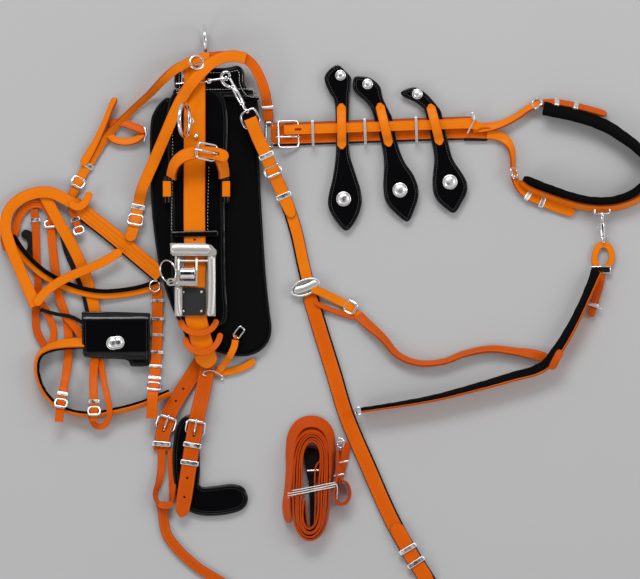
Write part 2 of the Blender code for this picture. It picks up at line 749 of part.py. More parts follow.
hitch_lever = show(cheek("cheek", CHEEK_LEFT), "hitch_lever", "brushed_metal")
TAIL_BAR = (26.0 * MM, 32.2 * MM)
TAIL_RISE = (0.6 * MM, 7.6 * MM)
SIDE_GAP_PX = 0.4
tail_low = hitch_point(CHEEK_LEFT[0] + SIDE_GAP_PX, TAIL_BAR[1], TAIL_RISE[0])
tail_high = hitch_point(CHEEK_RIGHT[1] - SIDE_GAP_PX, TAIL_BAR[0], TAIL_RISE[1])
tail_bar = solid_box("tail_bar", tail_low, tail_high)
BORE_OVERRUN_PX = 7.0
BORE_SPAN = (CHEEK_LEFT[0] - BORE_OVERRUN_PX, CHEEK_RIGHT[1] + BORE_OVERRUN_PX)
fuse(hitch_lever, cheek("cheek_right", CHEEK_RIGHT), tail_bar)
cut(
    hitch_lever,
    across_hitch("pin_bore", 0.0, 0.0, PIN_RADIUS + SEAT, BORE_SPAN),
    across_hitch("axle_bore", ROLLER_SET, ROLLER_UP, AXLE_RADIUS + SEAT, BORE_SPAN),
    across_hitch("latch_bore", LATCH_SET, LATCH_UP, LATCH_RADIUS + SEAT, BORE_SPAN),
)

ROLLER_SHARES = ((0.0, 0.86), (0.06, 1.0), (0.3, 0.96), (0.5, 0.94), (0.7, 0.96), (0.94, 1.0), (1.0, 0.86))
roller_left = hitch_point(CHEEK_LEFT[1] + SIDE_GAP_PX, ROLLER_SET, ROLLER_UP)
roller_right = hitch_point(CHEEK_RIGHT[0] - SIDE_GAP_PX, ROLLER_SET, ROLLER_UP)
hitch_roller = show(turned("barrel", roller_left, roller_right, ROLLER_SHARES, ROLLER_RADIUS, 20),
                    "hitch_roller", "chrome")
AXLE_INSET_PX = 0.1
AXLE_SPAN = (CHEEK_LEFT[0] + AXLE_INSET_PX, CHEEK_RIGHT[1] - AXLE_INSET_PX)
fuse(hitch_roller, across_hitch("axle", ROLLER_SET, ROLLER_UP, AXLE_RADIUS, AXLE_SPAN, 12))

TAB_OUTLINE = (
    (178, 278.6), (178, 285.4), (170.5, 286), (168, 284.6), (167.2, 282), (168, 279.6), (170.5, 278.2),
)
TAB_HOLE = (172.0, 282.0)
TAB_HOLE_RADIUS = 3.0 * MM
TAB_THICK = 2.0 * MM
tab_rise = PIVOT_RISE + LATCH_UP
tab_loop = [tuple(at(px, py)[:2]) for px, py in TAB_OUTLINE]
hitch_latch = show(plate("tab", [tab_loop], TAB_THICK, Matrix.Translation((0.0, 0.0, tab_rise))),
                   "hitch_latch", "brushed_metal")
LATCH_OUT_PX = 1.6
LATCH_SHORT_PX = 2.4
LATCH_SPAN = (CHEEK_LEFT[0] - LATCH_OUT_PX, CHEEK_RIGHT[0] - LATCH_SHORT_PX)
fuse(hitch_latch, across_hitch("bolt", LATCH_SET, LATCH_UP, LATCH_RADIUS, LATCH_SPAN, 12))
cut(hitch_latch, rod("eye", at(*TAB_HOLE, tab_rise - LAYER), at(*TAB_HOLE, tab_rise + LAYER),
                     TAB_HOLE_RADIUS, 14))

PULL_CENTRE = (169.0, 271.4)
PULL_WIRE = 1.1 * MM
pull_hole = at(*TAB_HOLE, tab_rise)
pull_centre = at(*PULL_CENTRE, tab_rise)
PULL_RADIUS = (pull_centre - pull_hole).length
PULL_LEAN = math.radians(-45)
pull_way = (pull_centre - pull_hole).normalized()
pull_axis = Matrix.Rotation(PULL_LEAN, 3, pull_way) @ Vector((0.0, 0.0, 1.0))
hitch_ring = show(ring("pull", pull_centre, pull_axis, PULL_RADIUS, PULL_WIRE, 24), "hitch_ring", "chrome")

PAD_BLOCK = ((180.2, 287.6), (206.0, 315.4))
GRIP_THICK = 4.6 * MM
grip_centre = ((PAD_BLOCK[0][0] + PAD_BLOCK[1][0]) / 2, (PAD_BLOCK[0][1] + PAD_BLOCK[1][1]) / 2)
grip_size = ((PAD_BLOCK[1][0] - PAD_BLOCK[0][0]) * PIXEL, (PAD_BLOCK[1][1] - PAD_BLOCK[0][1]) * PIXEL)
GRIP_CORNER = 3.0 * MM
grip_rise = STRAP_TOP + SEAT + GRIP_THICK / 2
hitch_pad = show(plate("grip", [rounded(grip_size[0], grip_size[1], GRIP_CORNER)], GRIP_THICK,
                       Matrix.Translation(at(*grip_centre, grip_rise)), SINK), "hitch_pad", "rubber")

# Leather collars below the hitch
COLLAR_UPPER = (
    (180.5, 319.5, S, 0.1), (183.5, 326, S, 0.4), (190, 331, S, 1.7), (199, 333, S, 1.4),
    (207, 331.5, S, 1.3),
    (213.5, 327, S, 0.9), (217.5, 319.5, S, 0.1),
)
COLLAR_LOWER = (
    (185.5, 337, P, 0.2), (188, 345, P, 1.0), (194, 350, P, 2.1), (204, 352, P, 2.1), (213, 348, P, 2.1),
    (218.5, 341, P, 0.8), (221, 333, P, 0.2),
)
CRESCENT_WIDTH = 8.0 * MM
collar_upper = band("collar_upper", COLLAR_UPPER, CRESCENT_WIDTH)
collar_lower = band("collar_lower", COLLAR_LOWER, CRESCENT_WIDTH)

# Girth, with its two billets
FRONT_ROUTE = (
    (204, 357, F, 0), (197, 368, F, 0), (182, 391, F, 0.3), (171, 410, F, 1.02), (167.3, 420.5, F, 1.02),
    (163.6, 431, F, 1.02), (161.8, 441, F, 1.02, 0, 0.9), (161.3, 448, F, 1.02, 0, 0.7),
)
FRONT_CHAPE = (
    (166.4, 423, F, 0), (163.6, 431, F, 0), (161.8, 441, F, 0), (161, 455, F, 0), (160.5, 480, F, 0),
    (159, 500, F, 0),
)
REAR_ROUTE = (
    (207.5, 360, F, 1), (205.5, 378, F, 1), (201.5, 398, F, 1.8), (198, 413, F, 2.92), (195, 430, F, 2.92),
    (191.5, 450, F, 2.92), (188.5, 470, F, 2.92), (184.5, 497, F, 2.92), (182.5, 510, F, 2.92, 0, 0.9),
    (181.5, 517, F, 2.92, 0, 0.7),
)
REAR_CHAPE = ((196.6, 421, F, 1.62), (195, 430, F, 1.62), (191.5, 450, F, 1.62), (188.8, 468, F, 1.62))
GIRTH_OUTLINE = (
    (182, 418), (196, 416), (198.5, 430), (200, 470), (200, 486), (215, 486), (232, 484), (244, 488),
    (248, 500),
    (242, 510), (225, 515), (205, 516), (190, 512), (178, 500), (172.5, 470), (174, 436),
)
GIRTH_THICK = 6.0 * MM
FRONT_BAR = (164.3, 429.0)
REAR_BAR = (194.4, 433.5)
FRONT_FRAME = 16.0 * MM
REAR_STACK = 2.3
front_billet = band("front_billet", FRONT_ROUTE, GIRTH_WIDTH)
rear_billet = band("rear_billet", REAR_ROUTE, GIRTH_WIDTH)
front_chape = band("front_chape", FRONT_CHAPE, GIRTH_WIDTH)
girth = flat_plate("girth", GIRTH_OUTLINE, LIFT, GIRTH_THICK, "black_patent", SKIRT_EDGE)
front_spot = Spot(FRONT_CHAPE, *FRONT_BAR, GIRTH_WIDTH).turned()
cut(front_chape, slot_cutter(front_spot, SLOT_REACH, SLOT_REACH))
cut(front_billet, slot_cutter(Spot(FRONT_ROUTE, *FRONT_BAR, GIRTH_WIDTH).turned(), SLOT_REACH, SLOT_REACH))
fuse(front_chape, buckle(front_spot, 2, FRONT_FRAME),
     keeper(Spot(FRONT_CHAPE, 161.3, 444, GIRTH_WIDTH), 2))
front_tongue = tongue("front_tongue", front_spot, FRONT_FRAME, BAR_UP, RAIL_UP)

rear_chape = band("rear_chape", REAR_CHAPE, GIRTH_WIDTH)
rear_spot = Spot(REAR_CHAPE, *REAR_BAR, GIRTH_WIDTH).turned()
fuse(girth, rear_chape)
cut(girth, slot_cutter(rear_spot, SLOT_REACH, SLOT_REACH))
cut(rear_billet, slot_cutter(Spot(REAR_ROUTE, *REAR_BAR, GIRTH_WIDTH).turned(), SLOT_REACH, SLOT_REACH),
    hole_cutter(Spot(REAR_ROUTE, 188, 478, GIRTH_WIDTH)),
    hole_cutter(Spot(REAR_ROUTE, 184.5, 497, GIRTH_WIDTH)))
fuse(girth, buckle(rear_spot, REAR_STACK, FRONT_FRAME),
     keeper(Spot(REAR_CHAPE, 192.4, 445, GIRTH_WIDTH), REAR_STACK),
     keeper(Spot(REAR_CHAPE, 189, 462.7, GIRTH_WIDTH), REAR_STACK))
REAR_RAIL = STRAP / 2 + (REAR_STACK - 1) * LAYER + SEAT + WIRE
rear_tongue = tongue("rear_tongue", rear_spot, FRONT_FRAME, BAR_UP, REAR_RAIL)

TAIL_ROUTE = (
    (176.5, 452, F, 2), (174, 467, F, 2), (171, 484, F, 2), (167.5, 500, F, 1.4), (164.5, 512, F, 0.2),
    (163.5, 521, F, 0), (167, 535, F, 0), (180, 552, F, 0), (198, 568, F, 0), (222, 583, F, 0),
    (232, 590, F, 0),
)
TAIL_WIDTH = 13.0 * MM
tail_strap = band("tail_strap", TAIL_ROUTE, TAIL_WIDTH)

# Dee on a thin strap at the foot of the saddle
DEE_WIDTH = 9.0 * MM
DEE_ROUTE = (
    (235.8, 338.6, P, 0.3), (234.5, 346, P, 0.3), (230.8, 354.5, P, 0.3), (226.5, 361.5, F, 2.6),
    (221, 368.5, F, 0.6), (217, 373.5, F, 0.2),
)
TIP_ROUTE = ((255, 360.5, F, 0), (243, 367.5, F, 0), (228, 372, F, 0), (213, 373, F, 0))
dee_strap = band("dee_strap", DEE_ROUTE, DEE_WIDTH)
DEE_BAR = (235.6, 337.0)
DEE_END = (242.6, 327.6)
DEE_HALF = 4.2 * MM
DEE_WIRE = 1.1 * MM
DEE_CORNER = 1.6 * MM
EYE_RADIUS = 2.7 * MM
EYE_HALF = 2.0 * MM
dee_rise = DECKS[P] + EYE_RADIUS
dee_near = at(*DEE_BAR, dee_rise)
dee_far = at(*DEE_END, dee_rise)
dee_way = (dee_far - dee_near).normalized()
dee_side = Vector((-dee_way.y, dee_way.x, 0.0))
dee_places = [
    dee_near + dee_side * (DEE_HALF - DEE_CORNER), dee_near + dee_side * DEE_HALF + dee_way * DEE_CORNER,
    dee_far + dee_side * DEE_HALF - dee_way * DEE_CORNER, dee_far + dee_side * (DEE_HALF - DEE_CORNER),
    dee_far - dee_side * (DEE_HALF - DEE_CORNER), dee_far - dee_side * DEE_HALF - dee_way * DEE_CORNER,
    dee_near - dee_side * DEE_HALF + dee_way * DEE_CORNER, dee_near - dee_side * (DEE_HALF - DEE_CORNER),
]
dee_ring = show(wire("dee", dee_places, DEE_WIRE, True), "dee_ring", "chrome")
dee_eye = rod("eye", dee_near - dee_side * EYE_HALF, dee_near + dee_side * EYE_HALF, EYE_RADIUS, 12)
fuse(dee_strap, dee_eye)
cut(dee_strap, rod("eye_bore", dee_near - dee_side * DEE_HALF, dee_near + dee_side * DEE_HALF,
                   DEE_WIRE + SEAT, 12))
fuse(dee_strap, band("dee_tip", TIP_ROUTE, DEE_WIDTH))

# Snap hooks: a turned barrel with a hook and a sprung bolt
BARREL_RADIUS = 4.0 * MM
HOOK_WIRE = 2.1 * MM
BOLT_RADIUS = 1.6 * MM
BOLT_SIDE = -1.5 * MM
HOOK_PATH = (
    (22.0 * MM, 3.2 * MM), (16.0 * MM, 7.6 * MM), (8.5 * MM, 9.0 * MM), (2.2 * MM, 5.8 * MM),
    (0.8 * MM, 0.6 * MM),
    (3.6 * MM, -3.2 * MM), (8.0 * MM, -3.0 * MM),
)
BARREL_SHARES = ((0.0, 0.8), (0.05, 1.0), (0.94, 1.0), (1.0, 0.86))
BARREL_START = 20.0 * MM
BOLT_TIP = 10.8 * MM
BOLT_REAR = 41.0 * MM
BORE_REAR = 49.0 * MM
KNOB_AT = 31.0 * MM
KNOB_BACK = 40.0 * MM
KNOB_RADIUS = 1.4 * MM
KNOB_RISE = 6.4 * MM
SNAP_LENGTH = 58.0 * MM


def snap(name, head, tail, side, up):
    """A snap from its head to its tail, and its bolt; side points away from the gate."""
    way = (tail - head).normalized()
    length = (tail - head).length
    scale = length / SNAP_LENGTH

    def spot(along, aside, above=0.0):
        return head + way * (along * scale) + side * aside + up * above

    barrel = show(turned("barrel", spot(BARREL_START, 0.0), spot(SNAP_LENGTH - 2 * BARREL_RADIUS, 0.0),
                         BARREL_SHARES, BARREL_RADIUS), name, "chrome")
    shank = rod("shank", spot(SNAP_LENGTH - 3 * BARREL_RADIUS, 0.0), spot(SNAP_LENGTH, 0.0),
                BARREL_RADIUS / 2, 12)
    hook = wire("hook", [spot(along, aside) for along, aside in HOOK_PATH], HOOK_WIRE)
    fuse(barrel, shank, hook)
    half = KNOB_RADIUS + SEAT
    hand = 1.0 if way.cross(side).dot(up) > 0 else -1.0
    slot_mid = hand * BOLT_SIDE
    slot = solid_box("slot", (KNOB_AT * scale - half, slot_mid - half, 0.0),
                     (KNOB_BACK * scale, slot_mid + half, KNOB_RISE))
    turn = Matrix((way, side * hand, up)).transposed().to_4x4()
    slot.data.transform(Matrix.Translation(head) @ turn)
    bore = rod("bore", spot(BOLT_TIP, BOLT_SIDE), spot(BORE_REAR, BOLT_SIDE), BOLT_RADIUS + SEAT, 16)
    cut(barrel, bore, slot)
    bolt = show(rod("bolt", spot(BOLT_TIP, BOLT_SIDE), spot(BOLT_REAR, BOLT_SIDE), BOLT_RADIUS, 12),
                name + "_bolt", "brushed_metal")
    fuse(bolt, rod("knob", spot(KNOB_AT, BOLT_SIDE), spot(KNOB_AT, BOLT_SIDE, KNOB_RISE), KNOB_RADIUS, 10))
    return barrel, bolt


COLLAR_HEAD = (225.2, 72.2)
COLLAR_TAIL = (246.0, 111.0)
snap_rise = SKIRT_TOP + BARREL_RADIUS + SEAT + SINK
collar_head = at(*COLLAR_HEAD, snap_rise)
collar_tail = at(*COLLAR_TAIL, snap_rise)
snap_way = (collar_tail - collar_head).normalized()
snap_side = Vector((snap_way.y, -snap_way.x, 0.0))
collar_snap, collar_bolt = snap("collar_snap", collar_head, collar_tail, snap_side, Vector((0.0, 0.0, 1.0)))

# Dee between the snap and its strap
SWIVEL_PX = (
    (243.0, 114.0), (251.4, 109.6), (255.2, 110.6), (259.2, 119.0), (258.2, 123.4), (248.4, 128.6),
    (244.6, 127.2),
    (241.4, 119.4),
)
SWIVEL_BAR = (247.2, 111.8)
SWIVEL_EYE = 4.0 * MM
swivel_places = [at(px, py, snap_rise) for px, py in SWIVEL_PX]
collar_swivel = show(wire("swivel", swivel_places, WIRE, True), "collar_swivel", "chrome")
bar_way = (swivel_places[1] - swivel_places[0]).normalized()
bar_mid = at(*SWIVEL_BAR, snap_rise)
fuse(collar_snap, rod("eye", bar_mid - bar_way * EYE_HALF, bar_mid + bar_way * EYE_HALF, SWIVEL_EYE, 14))
cut(collar_snap, rod("eye_bore", bar_mid - bar_way * SWIVEL_EYE, bar_mid + bar_way * SWIVEL_EYE,
                     WIRE + SEAT, 12))

# Front strap from the saddle to the breast ring
BILLET_ROUTE = (
    (250.4, 119.0, S, 1.9), (253.5, 126.6, S, 1.8), (259, 140, P, 2.4), (266, 155, P, 1.6),
    (275, 176, F, 3.6),
    (286, 201, F, 1.3), (292.5, 217, F, 1.1, 0, 0.8),
)
COLLAR_ROUTE = (
    (253, 125.6, P, 0.2), (259, 140, P, 0.2), (266, 155, P, 0.1), (275, 176, F, 2.2), (286, 201, F, 0.0),
    (296, 232, F, 0.0), (303, 264, F, 0.0), (307.5, 283, F, 0.0),
)
collar_billet = band("collar_billet", BILLET_ROUTE, COLLAR_WIDTH)
collar_strap = band("collar_strap", COLLAR_ROUTE, COLLAR_WIDTH)

# Oblong ring in front of the chest
RING_CENTRE = (305.0, 287.0)
RING_LEAN = math.radians(22)
RING_SIZE = (36.0 * MM, 19.0 * MM)
RING_SLOT = (23.0 * MM, 8.0 * MM)
RING_THICK = 2.4 * MM
RING_CORNER = 6.0 * MM
SLOT_CORNER = 3.0 * MM
ring_turn = Matrix.Translation(at(*RING_CENTRE, DECKS[F] + LAYER + RING_THICK / 2))
ring_turn = ring_turn @ Matrix.Rotation(RING_LEAN, 4, "Z")
ring_loops = [rounded(*RING_SIZE, RING_CORNER), rounded(*RING_SLOT, SLOT_CORNER)]
collar_ring = show(plate("collar_ring", ring_loops, RING_THICK, ring_turn, SINK), "collar_ring", "chrome")

# Long breast strap down to the breast piece
BREAST_ROUTE = (
    (309, 292.5, F, 0), (320, 329, F, 0), (334, 374, F, 0), (346, 414, F, 0), (368, 466, F, 0),
    (393, 522, F, 0),
    (412, 556, F, 0), (426, 578, F, 0), (433, 590, F, 0),
)
LAP_ROUTE = (
    (394, 524, F, 0.8), (404, 541.5, F, 0.8), (412, 556.5, F, 0.8), (424, 575, F, 0.8),
    (430, 585, F, 0.8, 0, 0.9),
)
breast_strap = band("breast_strap", BREAST_ROUTE, BREAST_WIDTH)
fuse(breast_strap, band("lap", LAP_ROUTE, BREAST_WIDTH),
     keeper(Spot(BREAST_ROUTE, 408, 549, BREAST_WIDTH), 2),
     keeper(Spot(BREAST_ROUTE, 416, 563, BREAST_WIDTH), 2))

# Side strap to the junction
LINK_WIDTH = 11.0 * MM
LINK_ROUTE = (
    (311, 288.5, F, 1.9), (319, 291.2, F, 1.9), (328, 295.5, F, 0.8), (338, 300.5, F, 0.1),
    (347, 305, F, 0.1),
    (360, 317, F, 0.1),
)
SIDE_WIDTH = 13.0 * MM
SIDE_ROUTE = (
    (356, 313, F, 0, 0), (364, 321, F, 0, 20), (383, 338, F, 0, 45), (398, 355, F, 0, 55),
    (418, 363, F, 0, 62),
    (444, 361.5, F, 0, 62), (464, 354, F, 0, 60), (490, 349, F, 0, 55), (518, 352, F, 0, 45),
    (536, 357, F, 0, 40),
)
side_strap = band("side_strap", SIDE_ROUTE, SIDE_WIDTH)
LINK_FRAME = 14.0 * MM
fuse(side_strap, band("link", LINK_ROUTE, LINK_WIDTH),
     buckle(Spot(LINK_ROUTE, 346, 304, LINK_WIDTH), 1, LINK_FRAME))

# Breeching: a padded strap on edge, with rings at its ends
BREECH_ROUTE = (
    (363, 410, F, 0.5, 55), (400, 404, F, 0.5, 60), (435, 399, F, 0.5, 60), (470, 390, F, 0.5, 60),
    (510, 379, F, 0.5, 60), (543, 368, F, 0.5, 60), (556, 352, F, 0.5, 60), (574, 324, F, 0.5, 55),
    (587, 298, F, 0.5, 45), (594, 279, F, 0.5, 30), (596, 271, F, 0.5, 20),
)
END_CENTRE = (359.0, 411.0)
END_STACK = 3.6
END_RADIUS = 4.6 * MM
END_WIRE = 1.4 * MM
breeching = band("breeching_strap", BREECH_ROUTE, BREECH_WIDTH, LINING, "black_felt")
fuse(breeching, ring("end_ring", at(*END_CENTRE, LIFT + END_STACK * LAYER), (0.0, 0.0, 1.0), END_RADIUS,
                     END_WIRE, 14))

# Hanger loop behind the crupper snap
HANGER_WIDTH = 8.0 * MM
HANGER_BAR = ((590.5, 266), (611, 273.5))
HANGER_ROUTE = (
    (598, 268, F, 0.35), (595, 262, F, 0.35), (595.5, 253.5, F, 0.35), (600.5, 245.1, F, 0.35),
    (607.5, 245.5, F, 0.35), (612, 254.5, F, 0.35), (610.5, 263, F, 0.35), (606, 269, F, 0.35),
)
fuse(breeching, pixel_box("bar", *HANGER_BAR, LIFT + SINK, LIFT + 2 * LAYER),
     band("hanger", HANGER_ROUTE, HANGER_WIDTH))

# Crupper dock, its outer strap and its snap
DOCK_ROUTE = (
    (545, 112.5, F, 0.6, 58), (565, 116.5, F, 0.6, 58), (587, 121, F, 0.6, 58), (606, 128, F, 0.6, 60),
    (624, 138, F, 0.6, 60), (639, 150, F, 0.6, 66), (649, 164, F, 0.6, 74), (649, 178, F, 0.6, 80),
    (638, 189.5, F, 0.6, 84), (622, 198, F, 0.6, 85), (603, 201.3, F, 0.6, 85), (582, 199.3, F, 0.6, 85),
    (563, 194, F, 0.6, 84), (546, 188, F, 0.6, 82), (533, 183, F, 0.6, 82), (523, 178.5, F, 0.6, 82),
)
OUTER_ROUTE = (
    (653.2, 184.0, F, 0.2, 82), (642, 195.2, F, 0.2, 82), (624, 203.6, F, 0.2, 80), (603, 206.8, F, 0.2, 80),
    (581, 204.8, F, 0.2, 80), (561, 199.4, F, 0.2, 80), (546.8, 194.2, F, 0.2, 80),
)
OUTER_WIDTH = 18.0 * MM
crupper_dock = band("crupper_dock", DOCK_ROUTE, DOCK_WIDTH, DOCK_THICK, "black_felt")
crupper_strap = band("crupper_strap", OUTER_ROUTE, OUTER_WIDTH)
CRUPPER_HEAD = (601.5, 210.2)
CRUPPER_TAIL = (603.5, 242.5)
CRUPPER_RISE = 8.4 * MM
STAPLE_LEFT = 594.5
STAPLE_RIGHT = 609.5
STAPLE_FEET = (206.5, 206.3)
STAPLE_Y = 213.7
STAPLE_CORNER_PX = 1.5
STAPLE_UP = 11.0 * MM
STAPLE_WIRE = 1.2 * MM
staple_px = (
    (STAPLE_LEFT, STAPLE_FEET[0]), (STAPLE_LEFT, STAPLE_Y - STAPLE_CORNER_PX),
    (STAPLE_LEFT + STAPLE_CORNER_PX, STAPLE_Y), (STAPLE_RIGHT - STAPLE_CORNER_PX, STAPLE_Y),
    (STAPLE_RIGHT, STAPLE_Y - STAPLE_CORNER_PX), (STAPLE_RIGHT, STAPLE_FEET[1]),
)
fuse(crupper_strap, wire("staple", [at(*place, STAPLE_UP) for place in staple_px], STAPLE_WIRE))
crupper_head = at(*CRUPPER_HEAD, CRUPPER_RISE)
crupper_tail = at(*CRUPPER_TAIL, CRUPPER_RISE)
crupper_way = (crupper_tail - crupper_head).normalized()
crupper_side = Vector((0.0, 0.0, 1.0))
crupper_up = crupper_way.cross(crupper_side)
crupper_snap, crupper_bolt = snap("crupper_snap", crupper_head, crupper_tail, crupper_side, crupper_up)

# Crupper fork: two straps from the back strap to the dock
UPPER_FORK = (
    (473, 128, F, 1.12), (485, 127, F, 1.12), (500, 124.5, F, 0.4), (516, 119, F, 0),
    (531, 110, F, 0, 0), (545, 103, F, 0, 30),
    (560, 103, F, 0, 60), (576, 106, F, 0, 60), (594, 111.2, F, 0, 50), (608, 116.5, F, 0, 50),
)
LOWER_FORK = (
    (482, 134, F, 1.5), (494, 137, F, 1.0), (505, 141, F, 0), (511.5, 152, F, 0), (513, 166, F, 0),
    (517, 182, F, 0),
    (527, 195, F, 0), (542, 203, F, 0), (558, 209, F, 0), (575, 214.5, F, 0),
)
FORK_WIDTH = 12.0 * MM
FORK_FRAME = 12.0 * MM
crupper_fork = band("crupper_fork", UPPER_FORK, FORK_WIDTH)
fuse(crupper_fork, band("lower", LOWER_FORK, FORK_WIDTH),
     buckle(Spot(UPPER_FORK, 524, 114, FORK_WIDTH), 1, FORK_FRAME),
     buckle(Spot(LOWER_FORK, 512.5, 160, FORK_WIDTH), 1, FORK_FRAME),
     keeper(Spot(LOWER_FORK, 528, 195.5, FORK_WIDTH), 1), keeper(Spot(LOWER_FORK, 542, 203, FORK_WIDTH), 1))

# Back strap with its billet and three patent drops
BACK_ROUTE = ((271, 134.5, F, 0), (330, 132.5, F, 0), (400, 130, F, 0), (478, 127.5, F, 0))
BILLET_LAYER = 2.5
BACK_BILLET_ROUTE = (
    (284, 130.0, F, BILLET_LAYER), (340, 128, F, BILLET_LAYER), (410, 125.6, F, BILLET_LAYER),
    (462, 123.8, F, BILLET_LAYER), (468, 123.6, F, BILLET_LAYER, 0, 0.8),
)
BACK_BILLET_WIDTH = 13.0 * MM
BACK_STACK = 3.6
BACK_BAR = (299.0, 133.2)
BACK_FRAME = 26.0 * MM
back_strap = band("back_strap", BACK_ROUTE, BACK_WIDTH)
back_billet = band("back_billet", BACK_BILLET_ROUTE, BACK_BILLET_WIDTH)
back_bar = Spot(BACK_ROUTE, *BACK_BAR, BACK_WIDTH).turned()
TONGUE_ASIDE = 4.0 * MM
back_aim = beside(back_bar, TONGUE_ASIDE)
cut(back_strap, slot_cutter(back_aim, SLOT_REACH, SLOT_REACH))
cut(back_billet, slot_cutter(under(back_aim, -BILLET_LAYER), SLOT_REACH, SLOT_REACH))
fuse(back_strap, buckle(back_bar, BACK_STACK, BACK_FRAME))
for keeper_px in (314.0, 365.0, 423.0, 464.0):
    fuse(back_strap, keeper(Spot(BACK_ROUTE, keeper_px, 130, BACK_WIDTH), BACK_STACK))
BACK_RAIL = STRAP / 2 + (BACK_STACK - 1) * LAYER + SEAT + WIRE
DEE_LEFT = 265.6
DEE_RIGHT = 272.4
DEE_TOP = 122.2
DEE_FOOT = 147.0
DEE_CORNER_PX = 2
dee_level = LIFT + STRAP / 2
fuse(back_strap, wire("dee", [
    at(DEE_LEFT, DEE_TOP + DEE_CORNER_PX, dee_level), at(DEE_LEFT + DEE_CORNER_PX, DEE_TOP, dee_level),
    at(DEE_RIGHT, DEE_TOP, dee_level),
    at(DEE_RIGHT, DEE_FOOT, dee_level), at(DEE_LEFT + DEE_CORNER_PX, DEE_FOOT, dee_level),
    at(DEE_LEFT, DEE_FOOT - DEE_CORNER_PX, dee_level),
], WIRE, True))
back_tongue = tongue("back_tongue", back_aim, BACK_FRAME, BAR_UP, BACK_RAIL)

DROP_THICK = 4.0 * MM
DROP_EDGE = 1.2 * MM
DROP_FACE = LIFT + LAYER + DROP_THICK
TAB_WIDTH = 12.0 * MM
STUD_RADIUS = 9.4 * MM
STUD_HEIGHT = 5.0 * MM
KNOT_RADIUS = 6.6 * MM
OVER = 3.6
ON_DROP = 2.02
DROP_FRONT = (
    (336.7, 64.7), (346.4, 72), (351.4, 78), (351, 85), (350, 92), (349.5, 103), (349.4, 149.5),
    (354.8, 171),
    (361, 191), (361.5, 205), (356, 220), (346, 231), (334, 218.6), (328.2, 206.5), (328.8, 194),
    (333, 176),
    (336, 148.3), (334.8, 103.5), (330, 93.8), (324.3, 76.8),
)
DROP_MIDDLE = (
    (354, 77.4), (360.3, 76.2), (370.6, 78), (380.3, 86.5), (382.7, 97.4), (390, 113), (392.4, 118),
    (397.3, 142.3), (404.5, 161.7), (413, 173.8), (418.5, 188.3), (417.9, 199.2), (414.2, 210),
    (407.6, 222),
    (394.8, 212.6), (386.4, 203), (383.3, 188.3), (384, 164), (381.5, 144.7), (374.2, 118), (370.6, 108.3),
    (363.3, 99.8), (353.4, 90.2),
)
DROP_REAR = (
    (400.3, 92), (414.2, 87), (425.2, 92.6), (432.4, 99.8), (441, 110.8), (442, 115.6), (448.2, 142.3),
    (453, 159.2), (460.3, 170.2), (467, 182.3), (467, 192), (461.5, 203), (453.9, 213.2), (442, 205.3),
    (434.8, 196.8), (432.4, 182.3), (434.2, 158), (431.2, 140), (426.4, 116.8), (424, 109.5),
    (415.5, 102.3),
    (402, 96),
)


BILLET_REACH_PX = 8.0
BILLET_SLOPE_PX = 7.0


def drop(name, outline, tab_top, tab_foot, billet_y, stud_px, knot_px):
    """A patent drop with its tab over the billet of the back strap and its two studs."""
    face = flat_plate(name, outline, LIFT + LAYER, DROP_THICK, "black_patent", DROP_EDGE)
    rows = []
    lean = (tab_foot[0] - tab_top[0]) / (tab_foot[1] - tab_top[1])
    for y, layer in (
        (tab_top[1], ON_DROP), (billet_y - BILLET_REACH_PX - BILLET_SLOPE_PX, ON_DROP),
        (billet_y - BILLET_REACH_PX, OVER), (billet_y + BILLET_REACH_PX, OVER),
        (billet_y + BILLET_REACH_PX + BILLET_SLOPE_PX, ON_DROP), (tab_foot[1], ON_DROP),
    ):
        rows.append((tab_top[0] + (y - tab_top[1]) * lean, y, F, layer))
    tab = band("tab", rows, TAB_WIDTH)
    fuse(face, tab, stud(at(*stud_px, DROP_FACE), STUD_RADIUS, STUD_HEIGHT),
         stud(at(*knot_px, DROP_FACE), KNOT_RADIUS, STUD_HEIGHT))
    return face


# Per drop: top and foot of the tab, height of the billet, its stud, its knot, and where it hangs
FRONT_MARKS = ((341.3, 103.5), (341.8, 149), 128, (343.6, 198.9), (340.5, 75.2))
MIDDLE_MARKS = ((379.2, 103), (389.4, 146.5), 126.5, (400, 190), (367.6, 84))
REAR_MARKS = ((430, 104), (440.3, 145), 124.7, (450, 182), (417.3, 94))
FRONT_HANG = (341.5, 132.0)
MIDDLE_HANG = (385.0, 130.4)
REAR_HANG = (435.0, 128.8)
drop_front = drop("drop_front", DROP_FRONT, *FRONT_MARKS)
drop_middle = drop("drop_middle", DROP_MIDDLE, *MIDDLE_MARKS)
drop_rear = drop("drop_rear", DROP_REAR, *REAR_MARKS)

# Neck strap from the saddle top to the back strap
NECK_ROUTE = (
    (210, 58, S, 1.0), (222, 57, S, 1.0), (234, 57, S, 1.0), (245, 59, S, 0.6), (254, 67, S, 0),
    (261, 80, S, 0),
    (265.5, 94, P, 1), (267.5, 108, F, 2), (268.6, 120.6, F, 0),
)
NECK_WIDTH = 13.0 * MM
neck_strap = band("neck_strap", NECK_ROUTE, NECK_WIDTH)

